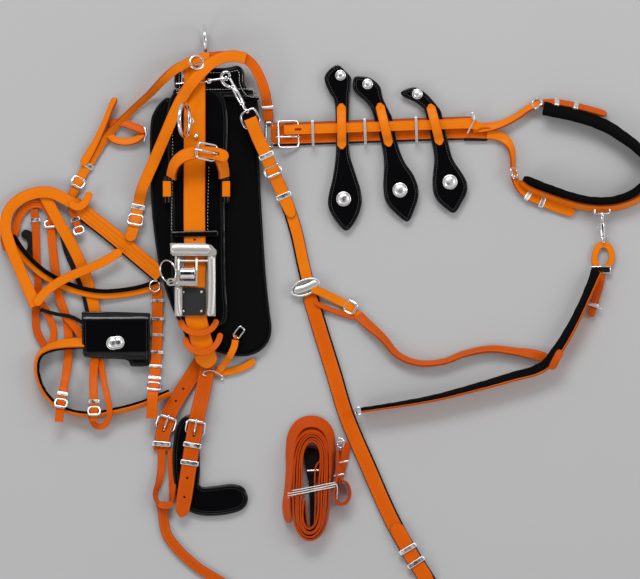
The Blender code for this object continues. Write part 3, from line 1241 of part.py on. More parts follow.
# Overcheck straps
OVER_FRONT_ROUTE = (
    (197, 68, S, 2.1), (187, 73, S, 2.0), (177, 79, S, 1.6), (163, 87, P, 1.5), (150, 98, F, 1),
    (130, 115, F, 0),
    (114, 129, F, 0), (102, 143, F, 0), (91, 160, F, 0), (82, 176, F, 0), (72, 193, F, 0),
)
CHECK_LOOP_ROUTE = (
    (113, 125, F, 0.25), (124, 121, F, 0.25), (135, 122.5, F, 0.25), (140.5, 129, F, 0.25),
    (134, 136.5, F, 0.25),
    (121, 138, F, 0.25), (107, 141, F, 0.25),
)
overcheck_front = band("overcheck_front", OVER_FRONT_ROUTE, NARROW_WIDTH)
fuse(overcheck_front, band("check_loop", CHECK_LOOP_ROUTE, NARROW_WIDTH),
     keeper(Spot(OVER_FRONT_ROUTE, 87.5, 166, NARROW_WIDTH), 1),
     buckle(Spot(OVER_FRONT_ROUTE, 80, 179.5, NARROW_WIDTH), 1, FORK_FRAME))
OVER_REAR_ROUTE = (
    (228, 61, S, 2.1), (214, 65, S, 2.4), (203, 73, S, 3.2), (191, 84, S, 3.2), (183, 96, S, 1.6),
    (175.5, 112, P, 2.8),
    (165, 137, P, 1.6), (155, 160, P, 0.4), (147.5, 177, P, 0.3), (142, 190, F, 4.2), (138.5, 204, F, 0.4),
    (134, 226, F, 1.9),
    (129, 240, F, 2.1),
)
overcheck_rear = band("overcheck_rear", OVER_REAR_ROUTE, CHEEK_WIDTH)
fuse(overcheck_rear, keeper(Spot(OVER_REAR_ROUTE, 138, 207, CHEEK_WIDTH), 1),
     buckle(Spot(OVER_REAR_ROUTE, 136.5, 216, CHEEK_WIDTH), 1, LINK_FRAME))

# Bridle
CROWN_ROUTE = (
    (36, 307, F, 3), (24, 275, F, 3), (13, 245, F, 3), (6.5, 225, F, 2.6), (8, 211, F, 2.4),
    (20, 199, F, 2.4), (35, 192, F, 2.4), (50, 191, F, 2.4), (64, 197, F, 2.4), (77, 204, F, 2.4),
    (86, 205, F, 2.4),
)
CROSS_ROUTE = (
    (119, 249, F, 3), (103, 262, F, 3), (87, 269, F, 3.2), (73, 274, F, 3.2), (61, 280, F, 3.2),
    (48, 290, F, 3.2),
    (35, 303, F, 3.25),
)
crown_strap = band("crown_strap", CROWN_ROUTE, CHEEK_WIDTH)
fuse(crown_strap, band("cross", CROSS_ROUTE, NARROW_WIDTH))
NEAR_ROUTE = (
    (46, 194, F, 1.3), (60, 214, F, 1.3), (75, 240, F, 0.6), (86, 265, F, 0), (93, 290, F, 0),
    (99, 314, F, 0),
    (99, 335, F, 0), (97, 360, F, 0), (95.5, 380, F, 1.5), (94.5, 398, F, 4.4), (94.5, 414, F, 5.3),
    (96, 424, F, 5.0),
)
near_cheek = band("near_cheek", NEAR_ROUTE, CHEEK_WIDTH)
fuse(near_cheek, buckle(Spot(NEAR_ROUTE, 94.5, 405, CHEEK_WIDTH), 1, LINK_FRAME))
BROW_ROUTE = ((91, 215, F, 0), (110, 229, F, 0), (135, 249, F, 0), (149, 261, F, 0))
LOWER_ROUTE = (
    (13, 238, F, 1), (41, 266, F, 1), (71, 284, F, 1), (98, 291, F, 1), (125, 291, F, 0.2),
    (148, 288, F, 0),
)
brow_band = band("brow_band", BROW_ROUTE, BROW_WIDTH, LINING)
lower_band = band("lower_band", LOWER_ROUTE, SIDE_WIDTH, LINING, "black_felt")
FAR_WIDTH = 10.0 * MM
ARCH_ROUTE = (
    (14, 236, F, 0), (20, 215, F, 0), (30, 205, F, 0.25), (42, 205, F, 0.25), (50, 213, F, 0.25),
    (52, 224, F, 0.25),
)
FAR_A_ROUTE = (
    (33, 207, F, 0), (35, 228, F, 0), (37, 260, F, 0), (40, 285, F, 0), (38, 310, F, 0),
    (40, 332, F, 0), (44, 344, F, 0),
)
FAR_B_ROUTE = (
    (51, 219, F, 0), (56, 262, F, 0), (58, 290, F, 0), (64, 318, F, 0), (66, 340, F, 0), (65.5, 360, F, 0),
    (63.5, 378, F, 1.5), (62, 391, F, 4.8), (60, 404, F, 5.6), (59, 420, F, 5.6),
)
TWIN_ROUTE = ((38, 297, F, 0.25), (44, 307, F, 0.25), (50, 325, F, 0), (51, 342, F, 0))
far_cheek = band("far_cheek", FAR_A_ROUTE, FAR_WIDTH)
fuse(far_cheek, band("arch", ARCH_ROUTE, FAR_WIDTH), band("far_b", FAR_B_ROUTE, FAR_WIDTH),
     band("twin", TWIN_ROUTE, FAR_WIDTH))
REAR_CHEEK_ROUTE = (
    (156.5, 299, F, 0), (158, 330, F, 0), (156.5, 358, F, 0.6), (154.5, 380, F, 2.5), (153, 396, F, 5.3),
    (152, 418, F, 5.3),
)
rear_cheek = band("rear_cheek", REAR_CHEEK_ROUTE, NARROW_WIDTH)
for keeper_px in (321.0, 335.0, 349.0, 367.0):
    fuse(rear_cheek, keeper(Spot(REAR_CHEEK_ROUTE, 157, keeper_px, NARROW_WIDTH), 1))
BLINDER_OUTLINE = (
    (84, 311.5), (148, 313), (150, 316), (150, 360), (147, 366), (130, 366), (127, 360), (88, 357.5),
    (83, 352),
    (82, 314),
)
BLINDER_BOTTOM = DECKS[F] + 3 * LAYER
blinder = flat_plate("blinder", BLINDER_OUTLINE, BLINDER_BOTTOM, DROP_THICK, "black_patent", DROP_EDGE)
fuse(blinder, stud(at(116, 343, BLINDER_BOTTOM + DROP_THICK), STUD_RADIUS, STUD_HEIGHT))
NOSE_ROUTE = (
    (168.8, 393, F, 0.2, 80), (148, 405, F, 0.2, 80), (122, 411.5, F, 0.2, 80),
    (94, 415, F, 0.2, 80), (66, 409, F, 0.2, 80), (45, 394, F, 0.2, 80), (36.5, 374, F, 0.2, 80),
    (43, 358, F, 0.6, 70), (56, 350, F, 1, 40), (74, 346, F, 1, 5), (84, 345.5, F, 1, 0),
    (116, 353, F, 1, 0),
    (142, 362, F, 1, 0),
)
noseband = band("noseband", NOSE_ROUTE, NOSE_WIDTH, LINING, "black_felt")

# Folded driving lines: one strap on edge, wound inwards, and the cord that ties it
HANK_CENTRE = (311.5, 478.0)
HANK_HALF = (24.0, 62.0)
HANK_TURNS = 6.4
HANK_PITCH = 2.55
HANK_WAIST = 4.5
HANK_START = 35.0
HANK_STEPS = 24
LINE_THICK = 2.4 * MM
LINE_WIDTH = 20.0 * MM
hank_route = [
    (339, 443, F, 0, 90), (346, 456, F, 0, 90), (350.5, 474, F, 0, 90), (350, 492, F, 0, 90),
    (344, 505, F, 0, 90),
]
TURN_POINTS = round(HANK_TURNS * HANK_STEPS)
for step in range(TURN_POINTS + 1):
    angle = math.radians(HANK_START + 360 * step / HANK_STEPS)
    inward = HANK_PITCH * step / HANK_STEPS
    cosine = math.cos(angle)
    half_width = HANK_HALF[0] - inward
    half_length = HANK_HALF[1] - inward
    hank_route.append((
        HANK_CENTRE[0] + half_width * cosine - HANK_WAIST * cosine * abs(cosine) ** 3,
        HANK_CENTRE[1] + half_length * math.sin(angle), F, 0, 90,
    ))


def edge_band(name, route, width, thick, surface):
    """A strap on edge whose route points are used as they are."""
    data = bpy.data.curves.new(name, "CURVE")
    data.dimensions = "3D"
    data.twist_mode = "Z_UP"
    data.bevel_depth = thick / 2
    data.bevel_resolution = 0
    data.extrude = (width - thick) / 2
    data.use_fill_caps = True
    rise_z = LIFT + width / 2
    spline_into(data, [(at(mark[0], mark[1], rise_z), 0.0, 1.0) for mark in route], False)
    return show(mesh_of(data, name), name, surface)


lines_hank = edge_band("lines_hank", hank_route, LINE_WIDTH, LINE_THICK, "orange_strap")
TIE_LEFT = 288.0
TIE_RIGHT = 336.0
TIE_Y = 485.0
TIE_TURNS = 3
TIE_STEP_PX = 2.2
TIE_RADIUS = 0.7 * MM
TIE_LOW = 0.9 * MM
TIE_HIGH = LIFT + LINE_WIDTH + 1.2 * MM
TIE_CORNER = 4.0
tie_places = []
for turn in range(TIE_TURNS):
    for index, (px, share) in enumerate((
        (TIE_LEFT + TIE_CORNER, 1.0), (TIE_RIGHT - TIE_CORNER, 1.0), (TIE_RIGHT, 0.8), (TIE_RIGHT, 0.2),
        (TIE_RIGHT - TIE_CORNER, 0.0), (TIE_LEFT + TIE_CORNER, 0.0), (TIE_LEFT, 0.2), (TIE_LEFT, 0.8),
    )):
        shift = TIE_STEP_PX * (turn + index / 8)
        tie_places.append(at(px, TIE_Y + shift, TIE_LOW + (TIE_HIGH - TIE_LOW) * share))
lines_tie = show(wire("tie", tie_places, TIE_RADIUS), "lines_tie", "white_cord")


def move_origin(thing, place):
    """Puts the origin of a moving piece on its axis."""
    thing.data.transform(Matrix.Translation(-place))
    thing.location = place


move_origin(tug_tongue, tug_bar.point(0.0, 0.0, BAR_UP))
move_origin(front_tongue, front_spot.point(0.0, 0.0, BAR_UP))
move_origin(rear_tongue, rear_spot.point(0.0, 0.0, BAR_UP))
move_origin(back_tongue, back_bar.point(0.0, 0.0, BAR_UP))
move_origin(hitch_lever, hitch_point(CHEEK_LEFT[0], 0.0, 0.0))
move_origin(hitch_roller, hitch_point(CHEEK_LEFT[0], ROLLER_SET, ROLLER_UP))
move_origin(hitch_latch, hitch_point(CHEEK_LEFT[0], LATCH_SET, LATCH_UP))
move_origin(hitch_ring, pull_hole)
move_origin(dee_ring, dee_near)
move_origin(collar_bolt, collar_head)
move_origin(crupper_bolt, crupper_head)
move_origin(drop_front, at(*FRONT_HANG, DROP_FACE))
move_origin(drop_middle, at(*MIDDLE_HANG, DROP_FACE))
move_origin(drop_rear, at(*REAR_HANG, DROP_FACE))

SHARP_EDGE = math.radians(40)
for piece in HARNESS.objects:
    piece.data.shade_smooth()
    piece.data.set_sharp_from_angle(angle=SHARP_EDGE)
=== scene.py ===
"""Looks of a driving harness laid out flat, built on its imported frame. Metres, +Z up, +X towards the tail."""
import bpy
import bmesh
import math
import numpy as np
from mathutils import Matrix, Vector


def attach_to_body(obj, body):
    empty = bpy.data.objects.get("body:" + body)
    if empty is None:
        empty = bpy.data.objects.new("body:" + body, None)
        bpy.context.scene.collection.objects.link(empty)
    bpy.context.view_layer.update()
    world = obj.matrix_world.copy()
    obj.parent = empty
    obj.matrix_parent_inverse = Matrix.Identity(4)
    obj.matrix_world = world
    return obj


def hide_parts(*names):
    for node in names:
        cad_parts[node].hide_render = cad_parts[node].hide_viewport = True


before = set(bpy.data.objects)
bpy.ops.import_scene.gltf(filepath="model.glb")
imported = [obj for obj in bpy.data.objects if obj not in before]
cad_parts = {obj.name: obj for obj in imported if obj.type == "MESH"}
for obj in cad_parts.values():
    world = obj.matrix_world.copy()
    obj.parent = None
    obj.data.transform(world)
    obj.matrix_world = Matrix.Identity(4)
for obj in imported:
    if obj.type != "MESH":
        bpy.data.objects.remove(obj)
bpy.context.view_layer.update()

MM = 0.001
UP = Vector((0.0, 0.0, 1.0))

# Layout: routes and outlines are drawn in the pixels of a 640 by 579 view from straight above
PIXEL = 1.3 * MM
CENTRE_PX = (209.0, 225.0)
PHOTO_SIZE = (640.0, 579.0)

# Straps and the levels on which they lie
STRAP = 3.0 * MM
SEAT = 0.35 * MM
LIFT = 1.8 * MM
LAYER = STRAP + SEAT
LINING = 6.0 * MM
PAD_TOP = 18.0 * MM
SKIRT_THICK = 5.0 * MM
PLATE = 2.0 * MM
SKIRT_TOP = PAD_TOP + SEAT + SKIRT_THICK
F, P, S, H = "floor", "pad", "skirt", "hitch"
DECKS = {F: LIFT, P: PAD_TOP + SEAT, S: SKIRT_TOP + SEAT, H: SKIRT_TOP + SEAT + PLATE + SEAT}
BILLET_LAYER = 2.5
BACK_STACK = 3.6
REAR_STACK = 2.3

# Widths of the straps
SADDLE_WIDTH, GIRTH_WIDTH, BACK_WIDTH, BREAST_WIDTH = 28 * MM, 20 * MM, 30 * MM, 21 * MM
BREECH_WIDTH, COLLAR_WIDTH, CHEEK_WIDTH, NARROW_WIDTH = 23 * MM, 17 * MM, 15 * MM, 12 * MM
NOSE_WIDTH, BROW_WIDTH, DOCK_WIDTH, DOCK_THICK = 16 * MM, 21 * MM, 22 * MM, 9 * MM
TUG_WIDTH, CRESCENT_WIDTH, TAIL_WIDTH, DEE_WIDTH = 16 * MM, 8 * MM, 13 * MM, 9 * MM
LINK_WIDTH, SIDE_WIDTH, HANGER_WIDTH, OUTER_WIDTH = 11 * MM, 13 * MM, 8 * MM, 18 * MM
FORK_WIDTH, BILLET_WIDTH, TAB_WIDTH, FAR_WIDTH = 12 * MM, 13 * MM, 12 * MM, 10 * MM
LOWER_WIDTH, REAR_CHEEK_WIDTH, LINE_WIDTH, LINE_THICK = 11 * MM, 14 * MM, 20 * MM, 2.4 * MM

# Sections and ends of the straps
CORNER = 0.55 * MM
GROOVE = 0.3 * MM
CROWN = 0.3 * MM
SWEEP_STEP = 3.0 * MM
BLUNT = 0.5 * MM
NONE, HEAD, TAIL, BOTH = (False, False), (True, False), (False, True), (True, True)
# Orange strap faces: the plain one and two darker copies that are painted shade.
ORANGES = ("orange", "burnt", "deep")

# Metal fittings
WIRE = 1.5 * MM
KEEPER_WALL = 1.3 * MM
KEEPER_LENGTH = 6.0 * MM
KEEPER_PROFILE = ((-0.5, -KEEPER_WALL), (-0.5, -0.35 * MM), (-0.44, -0.06 * MM), (-0.3, 0.0), (0.0, 0.12 * MM),
                  (0.3, 0.0), (0.44, -0.06 * MM), (0.5, -0.35 * MM), (0.5, -KEEPER_WALL), (0.5, -KEEPER_WALL),
                  (-0.5, -KEEPER_WALL))
LOOP_WALL = 2.4 * MM
LOOP_PROFILE = ((-0.5, -LOOP_WALL), (-0.5, -0.8 * MM), (-0.46, -0.2 * MM), (-0.4, 0.0), (0.0, 0.25 * MM),
                (0.4, 0.0), (0.46, -0.2 * MM), (0.5, -0.8 * MM), (0.5, -LOOP_WALL))
FREE = 0.6 * MM
BAR_UP = LAYER - STRAP / 2 - SEAT / 2 - WIRE
TONGUE_RADIUS = 1.2 * MM
TONGUE_TURN = 125.0
BEND_RISE_SHARE = 0.75
TUG_FRAME, FRONT_FRAME, FORK_FRAME, BACK_FRAME = 24 * MM, 16 * MM, 12 * MM, 26 * MM
SLOT = (4.6 * MM, TONGUE_RADIUS + SEAT)
HOLE = (1.4 * MM, 1.4 * MM)

# Stitches
STITCH_RADIUS = 0.28 * MM
STITCH_LENGTH = 2.3 * MM
STITCH_PITCH = 3.4 * MM
STITCH_INSET = 2.0 * MM
STITCH_SINK = 0.12 * MM
STITCH_SLANT = math.radians(9)
STITCH_SIDES = 6
STITCH_SHARES = ((-0.5, 0.35), (-0.4, 0.85), (-0.15, 1.0), (0.15, 1.0), (0.4, 0.85), (0.5, 0.35))

# Routes and outlines. A route mark is pixel x, pixel y, deck, layers above it, lean in degrees and swell.
# A deck of F and last values of 0, 0 and 1 are left out.
PAD_OUTLINE = (
    (163, 98.6), (176, 96.5), (245, 95.5), (257, 98.6), (260, 115), (260.5, 165), (264, 230), (267, 275),
    (270, 305), (272.6, 328), (270, 341), (262, 351), (252, 356), (242, 357.5), (228, 356), (216, 353),
    (203, 351), (190, 349), (181, 329), (170, 306), (160, 275), (156, 255), (152, 225), (150, 200), (149, 165),
    (149, 130), (152, 113),
)
SKIRT_OUTLINE = (
    (171, 97.5), (224, 97.5), (225, 200), (226, 280), (228, 310), (226, 322), (218, 326), (200, 327), (180, 318),
    (174.5, 300), (171.5, 270), (170.5, 200),
)
TREE_OUTLINE = (
    (176, 72), (188, 69), (225, 68), (238, 66), (244, 72), (245, 84), (250, 92), (254, 94.2), (180, 94.6),
    (175, 88),
)
SADDLE_ROUTE = (
    (195, 66, S), (195, 150, S), (195, 238, S), (195.5, 248, H), (196.3, 317.5, H), (197.5, 322.5, S, 0.25),
    (199, 329, S, 0.1), (200.5, 336, P, 1.1), (203, 346, P, 0.7), (205, 353, P, 0.7), (206.8, 360, 4.4),
    (207.5, 368, 3.2, 0, 0.8),
)
TUG_ROUTE = (
    (172, 196, S, 0, 40), (172, 181, S, 0.6, 40), (173, 172, S, 3.4, 42), (177, 163.5, S, 6, 30),
    (185, 156.8, S, 7.6, 12), (196, 153.8, S, 8), (206, 153.5, S, 8), (218, 155, S, 8), (229, 159, S, 7.6),
)
CHAPE_ROUTE = (
    (212, 154, S, 6.85), (217, 155.2, S, 6.85), (221, 160, S, 5.4, 20), (224, 170, S, 2.6, 38),
    (224.6, 181, S, 0.6, 40), (224.6, 196, S, 0, 40),
)
COLLAR_UPPER = (
    (180.5, 319.5, S, 0.1), (183.5, 326, S, 0.4), (190, 331, S, 1.7), (199, 333, S, 1.4), (207, 331.5, S, 1.3),
    (213.5, 327, S, 0.9), (217.5, 319.5, S, 0.1),
)
COLLAR_LOWER = (
    (185.5, 337, P, 0.2), (188, 345, P, 1), (194, 350, P, 2.1), (204, 352, P, 2.1), (213, 348, P, 2.1),
    (218.5, 341, P, 0.8), (221, 333, P, 0.2),
)
FRONT_ROUTE = (
    (204, 357), (197, 368), (182, 391, 0.3), (171, 410, 1.02), (167.3, 420.5, 1.02), (163.6, 431, 1.02),
    (161.8, 441, 1.02, 0, 0.9), (161.3, 448, 1.02, 0, 0.7),
)
FRONT_CHAPE = ((166.4, 423), (163.6, 431), (161.8, 441), (161, 455), (160.5, 480), (159, 500))
REAR_ROUTE = (
    (207.5, 360, 1), (205.5, 378, 1), (201.5, 398, 1.8), (198, 413, 2.92), (195, 430, 2.92), (191.5, 450, 2.92),
    (188.5, 470, 2.92), (184.5, 497, 2.92), (182.5, 510, 2.92, 0, 0.9), (181.5, 517, 2.92, 0, 0.7),
)
REAR_CHAPE = ((196.6, 421, 1.62), (195, 430, 1.62), (191.5, 450, 1.62), (188.8, 468, 1.62))
GIRTH_OUTLINE = (
    (182, 418), (196, 416), (198.5, 430), (200, 470), (200, 486), (215, 486), (232, 484), (244, 488), (248, 500),
    (242, 510), (225, 515), (205, 516), (190, 512), (178, 500), (172.5, 470), (174, 436),
)
TAIL_ROUTE = (
    (160.5, 503, 0.4, 25), (162.5, 510, 0.3, 12), (163.5, 521), (167, 535), (180, 552), (198, 568), (222, 583),
    (232, 590),
)
DEE_ROUTE = (
    (235.8, 338.6, P, 0.3), (234.5, 346, P, 0.3), (230.8, 354.5, P, 0.3), (226.5, 361.5, 2.6), (221, 368.5, 0.6),
    (217, 373.5, 0.2),
)
TIP_ROUTE = ((255, 360.5), (243, 367.5), (228, 372), (213, 373))
BILLET_ROUTE = (
    (250.4, 119, S, 1.9), (253.5, 126.6, S, 1.8), (259, 140, P, 2.4), (266, 155, P, 1.6), (275, 176, 3.6),
    (286, 201, 1.3), (292.5, 217, 1.1, 0, 0.8),
)
COLLAR_ROUTE = (
    (253, 125.6, P, 0.2), (259, 140, P, 0.2), (266, 155, P, 0.1), (275, 176, 2.2), (286, 201), (296, 232),
    (303, 264), (307.5, 283),
)
SWIVEL_PX = (
    (243, 114), (251.4, 109.6), (255.2, 110.6), (259.2, 119), (258.2, 123.4), (248.4, 128.6), (244.6, 127.2),
    (241.4, 119.4),
)
BREAST_ROUTE = (
    (309, 292.5), (320, 329), (334, 374), (346, 414), (368, 466), (393, 522), (412, 556), (426, 578), (433, 590),
)
LAP_ROUTE = ((394, 524, 0.8), (404, 541.5, 0.8), (412, 556.5, 0.8), (424, 575, 0.8), (430, 585, 0.8, 0, 0.9))
LINK_ROUTE = (
    (311, 288.5, 1.9), (319, 291.2, 1.9), (328, 295.5, 0.8), (338, 300.5, 0.1), (347, 305, 0.1), (360, 317, 0.1),
)
SIDE_ROUTE = (
    (356, 313), (364, 321, 0, 20), (383, 338, 0, 45), (398, 355, 0, 55), (418, 363, 0, 62), (444, 361.5, 0, 62),
    (464, 354, 0, 60), (490, 349, 0, 55), (518, 352, 0, 45), (540, 356, 0.6), (554, 362, 0.6),
)
BREECH_ROUTE = (
    (361, 410, 0.5, 88), (400, 404, 0.5, 85), (435, 397.5, 0.5, 81), (470, 388.5, 0.5, 76), (510, 377, 0.5, 70),
    (543, 366, 0.5, 65), (556, 351, 0.5, 64), (573, 323, 0.5, 70), (585, 298, 0.5, 72), (593, 279, 0.5, 68),
    (596, 271, 0.5, 60),
)
HANGER_ROUTE = (
    (598, 268, 0.35), (595, 262, 0.35), (595.5, 253.5, 0.35), (600.5, 245.1, 0.35), (607.5, 245.5, 0.35),
    (612, 254.5, 0.35), (610.5, 263, 0.35), (606, 269, 0.35),
)
DOCK_ROUTE = (
    (543, 108.5, 0.6, 45), (563, 112.5, 0.6, 48), (586, 118.5, 0.6, 50), (606, 126.5, 0.6, 54),
    (624, 138, 0.6, 60), (639, 150, 0.6, 66), (649, 164, 0.6, 74), (649, 178, 0.6, 80), (638, 189.5, 0.6, 84),
    (622, 198, 0.6, 85), (603, 201.3, 0.6, 85), (582, 199.3, 0.6, 85), (563, 194, 0.6, 84), (546, 188, 0.6, 82),
    (533, 183, 0.6, 82), (523, 178.5, 0.6, 82),
)
OUTER_ROUTE = (
    (653, 186, 0.2, 70), (642, 197, 0.2, 68), (624, 205.4, 0.2, 66), (603, 208.6, 0.2, 66), (581, 206.4, 0.2, 66),
    (561, 201, 0.2, 68), (545, 195.3, 0.2, 72), (530, 189, 0.2, 74), (519, 181.5, 0.2, 74),
)
UPPER_FORK = (
    (473, 128, 1.12), (485, 127.5, 1.12, 15), (500, 124.5, 0.4, 42), (516, 117, 0.1, 52), (531, 107, 0.1, 52),
    (545, 102.6, 0.1, 52), (560, 102.8, 0.1, 52), (576, 106, 0.1, 52), (594, 110.6, 0.1, 50),
    (607, 114.6, 0.1, 50),
)
LOWER_FORK = (
    (487, 134, 0.8), (496, 135, 0.6), (504.5, 138.6, 0.1, 10), (511, 147.5, 0.1, 45), (513, 160, 0.1, 62),
    (513.2, 172, 0.1, 62), (517, 183, 0.1, 40), (527, 193.8, 0.1, 15), (542, 201.5, 0.1, 8), (558, 207.8, 0.1),
    (575, 213.4, 0.1),
)
BACK_ROUTE = ((271, 134.5), (330, 132.5), (400, 130), (478, 127.5))
BACK_BILLET_ROUTE = (
    (284, 130, BILLET_LAYER), (340, 128, BILLET_LAYER), (410, 125.6, BILLET_LAYER),
    (462, 123.8, BILLET_LAYER), (468, 123.6, BILLET_LAYER, 0, 0.8),
)
DROP_FRONT = (
    (336.7, 64.7), (346.4, 72), (351.4, 78), (351, 85), (350, 92), (349.5, 103), (349.4, 149.5), (354.8, 171),
    (361, 191), (361.5, 205), (356, 220), (346, 231), (334, 218.6), (328.2, 206.5), (328.8, 194), (333, 176),
    (336, 148.3), (334.8, 103.5), (330, 93.8), (324.3, 76.8),
)
DROP_MIDDLE = (
    (354, 77.4), (360.3, 76.2), (370.6, 78), (380.3, 86.5), (382.7, 97.4), (390, 113), (392.4, 118),
    (397.3, 142.3), (404.5, 161.7), (413, 173.8), (418.5, 188.3), (417.9, 199.2), (414.2, 210), (407.6, 222),
    (394.8, 212.6), (386.4, 203), (383.3, 188.3), (384, 164), (381.5, 144.7), (374.2, 118), (370.6, 108.3),
    (363.3, 99.8), (353.4, 90.2),
)
DROP_REAR = (
    (400.3, 92), (414.2, 87), (425.2, 92.6), (432.4, 99.8), (441, 110.8), (442, 115.6), (448.2, 142.3),
    (453, 159.2), (460.3, 170.2), (467, 182.3), (467, 192), (461.5, 203), (453.9, 213.2), (442, 205.3),
    (434.8, 196.8), (432.4, 182.3), (434.2, 158), (431.2, 140), (426.4, 116.8), (424, 109.5), (415.5, 102.3),
    (402, 96),
)
NECK_ROUTE = (
    (210, 58, S, 1), (222, 57, S, 1), (234, 57, S, 1), (245, 59, S, 0.6), (254, 67, S), (261, 80, S),
    (265.5, 94, P, 1), (267.5, 108, 2), (268.6, 120.6),
)
OVER_FRONT_ROUTE = (
    (210, 57.4, S, 2.1), (198, 59.6, S, 2.1), (187, 64.4, S, 2), (176, 70.5, S, 1.6, 20), (163, 81.5, P, 1.5, 40),
    (150, 94, 1, 52), (135, 107.5, 0.2, 55), (121, 121, 0.2, 52), (109, 133.5, 0.1, 48), (100, 146, 0.1, 35),
    (92, 158, 0.1, 15), (84, 171), (77, 184), (70.5, 198, 0.1),
)
OVER_REAR_ROUTE = (
    (246, 59.5, S, 1.75), (236, 57.2, S, 2.1), (224, 58.4, S, 2.2), (212, 64, S, 2.4), (202, 73.5, S, 3.2),
    (191, 86, S, 3.2), (183, 98, S, 1.6), (175.5, 113, P, 2.8), (165, 137, P, 1.6), (155, 160, P, 0.4),
    (147.5, 177, P, 0.3), (142, 190, 4.2), (138.5, 204, 0.4), (134, 226, 1.9), (129, 241, 2.2),
)
CROWN_ROUTE = (
    (36, 306, 3.7), (27, 285, 3.4), (17, 262, 3.2), (9.5, 243, 3), (5.5, 226, 2.6), (10, 209, 2.4),
    (23, 197.5, 2.4), (38, 192.5, 2.4), (52, 193, 2.4), (66, 199.5, 2.4), (78, 206, 2.4), (84, 209, 2.4),
)
CROSS_ROUTE = (
    (121.5, 251, 3.8), (104, 261.5, 3.8), (82.6, 271, 3.8), (63.8, 279.5, 3.8), (47, 291, 3.9), (35.5, 305, 4.3),
)
NEAR_ROUTE = (
    (44, 194.5, 1.3), (57, 219, 1.3), (70.5, 243, 0.6), (81, 265), (89, 288), (95, 314), (96, 335), (95, 357),
)
BROW_ROUTE = ((72, 203.5, 0.2), (86, 215, 0.2), (110, 234), (134, 254), (160, 276, 0.2))
LOWER_ROUTE = (
    (10, 235, 1), (21, 252, 1), (40, 271, 1), (61, 283.5, 1), (80, 290.5, 1), (101, 294, 1), (125, 292.5, 0.3),
    (143, 289, 0.2), (160, 283, 0.2),
)
FAR_ROUTE = ((34, 209), (35.4, 228), (36.5, 260), (38, 285), (35.4, 311), (36.6, 331), (45, 347))
ARCH_ROUTE = ((14, 236), (20, 215), (30, 205, 0.25), (42, 205, 0.25), (50, 213, 0.25), (52, 224, 0.25))
REAR_CHEEK_ROUTE = (
    (157, 287, 0.1), (157.5, 312), (157, 335), (156, 358, 0.6), (154.5, 380, 2.5), (153, 396, 5.3),
    (152, 418, 5.3),
)
BLINDER_OUTLINE = (
    (84, 311.5), (148, 313), (150, 316), (150, 360), (147, 366), (130, 366), (127, 360), (88, 357.5), (83, 352),
    (82, 314),
)
NOSE_ROUTE = (
    (170, 392.5, 0.2, 72), (142, 404, 0.2, 72), (118, 410.5, 0.2, 72), (94, 414.5, 0.2, 76), (70, 411.5, 0.2, 80),
    (54, 403, 0.2, 80), (42, 388, 0.2, 80), (36.8, 369, 0.2, 80), (39.5, 355.5, 0.2, 76), (48, 349, 0.2, 66),
    (62, 345, 0.2, 52), (84, 343, 0.2, 40),
)
BLACK_STRAP_ROUTE = (
    (311, 448, 0, 0, 1.5), (311, 456, 0, 0, 1.7), (310.5, 466, 0.1, 0, 1.1), (311.5, 482, 0.6, 0, 0.62),
    (312.5, 505, 0.6, 0, 0.6), (313, 531, 0.3, 0, 0.6),
)


# Node materials

def shaded(colour, share):
    return tuple(part * share for part in colour)


class Look:
    """A Principled material and short ways to add nodes to it."""

    def __init__(self, name, colour, roughness, metallic=0.0, **values):
        self.material = bpy.data.materials.new(name)
        self.material.use_nodes = True
        self.tree = self.material.node_tree
        self.shader = self.tree.nodes["Principled BSDF"]
        self.material.diffuse_color = (*colour, 1.0)
        values.update(Base_Color=(*colour, 1.0), Roughness=roughness, Metallic=metallic)
        for key, value in values.items():
            self.shader.inputs[key.replace("_", " ")].default_value = value
        self.place = self.node("TexCoord", {}).outputs["Object"]

    def link(self, source, target):
        self.tree.links.new(source, target)

    def node(self, kind, inputs, **settings):
        """Adds a node. inputs gives each socket a value, or the socket that feeds it."""
        made = self.tree.nodes.new("ShaderNode" + kind)
        for key, value in settings.items():
            setattr(made, key, value)
        for key, value in inputs.items():
            if isinstance(value, bpy.types.NodeSocket):
                self.link(value, made.inputs[key])
            elif value is not None:
                made.inputs[key].default_value = value
        return made

    def noise(self, scale, detail=3.0, roughness=0.55, vector=None):
        return self.node("TexNoise", {"Scale": scale, "Detail": detail, "Roughness": roughness,
                                      "Vector": vector or self.place}).outputs["Fac"]

    def streaks(self, detail, roughness, scale):
        stretched = self.node("Mapping", {"Scale": scale, "Vector": self.place}).outputs["Vector"]
        return self.noise(1.0, detail, roughness, stretched)

    def cells(self, scale):
        return self.node("TexVoronoi", {"Scale": scale, "Vector": self.place}).outputs["Distance"]

    def wave(self, direction, scale):
        return self.node("TexWave", {"Scale": scale, "Distortion": 1.5, "Vector": self.place},
                         wave_type="BANDS", bands_direction=direction).outputs["Fac"]

    def math(self, operation, first, second=None):
        return self.node("Math", {0: first, 1: second}, operation=operation).outputs[0]

    def spread(self, source, low, high, low_to, high_to):
        return self.node("MapRange", {"Value": source, "From Min": low, "From Max": high, "To Min": low_to,
                                      "To Max": high_to}).outputs["Result"]

    def mix(self, share, *colours):
        first, second = ((*value, 1.0) if isinstance(value, tuple) else value for value in colours)
        return self.node("Mix", {0: share, 6: first, 7: second}, data_type="RGBA").outputs[2]

    def bump(self, height, distance, strength):
        """Adds a bump over the bumps that the shader already has."""
        normal = self.shader.inputs["Normal"]
        before = normal.links[0].from_socket if normal.is_linked else None
        made = self.node("Bump", {"Height": height, "Distance": distance, "Strength": strength,
                                  "Normal": before})
        self.link(made.outputs["Normal"], normal)

    def colour(self, source):
        self.link(source, self.shader.inputs["Base Color"])

    def rough(self, source):
        self.link(source, self.shader.inputs["Roughness"])


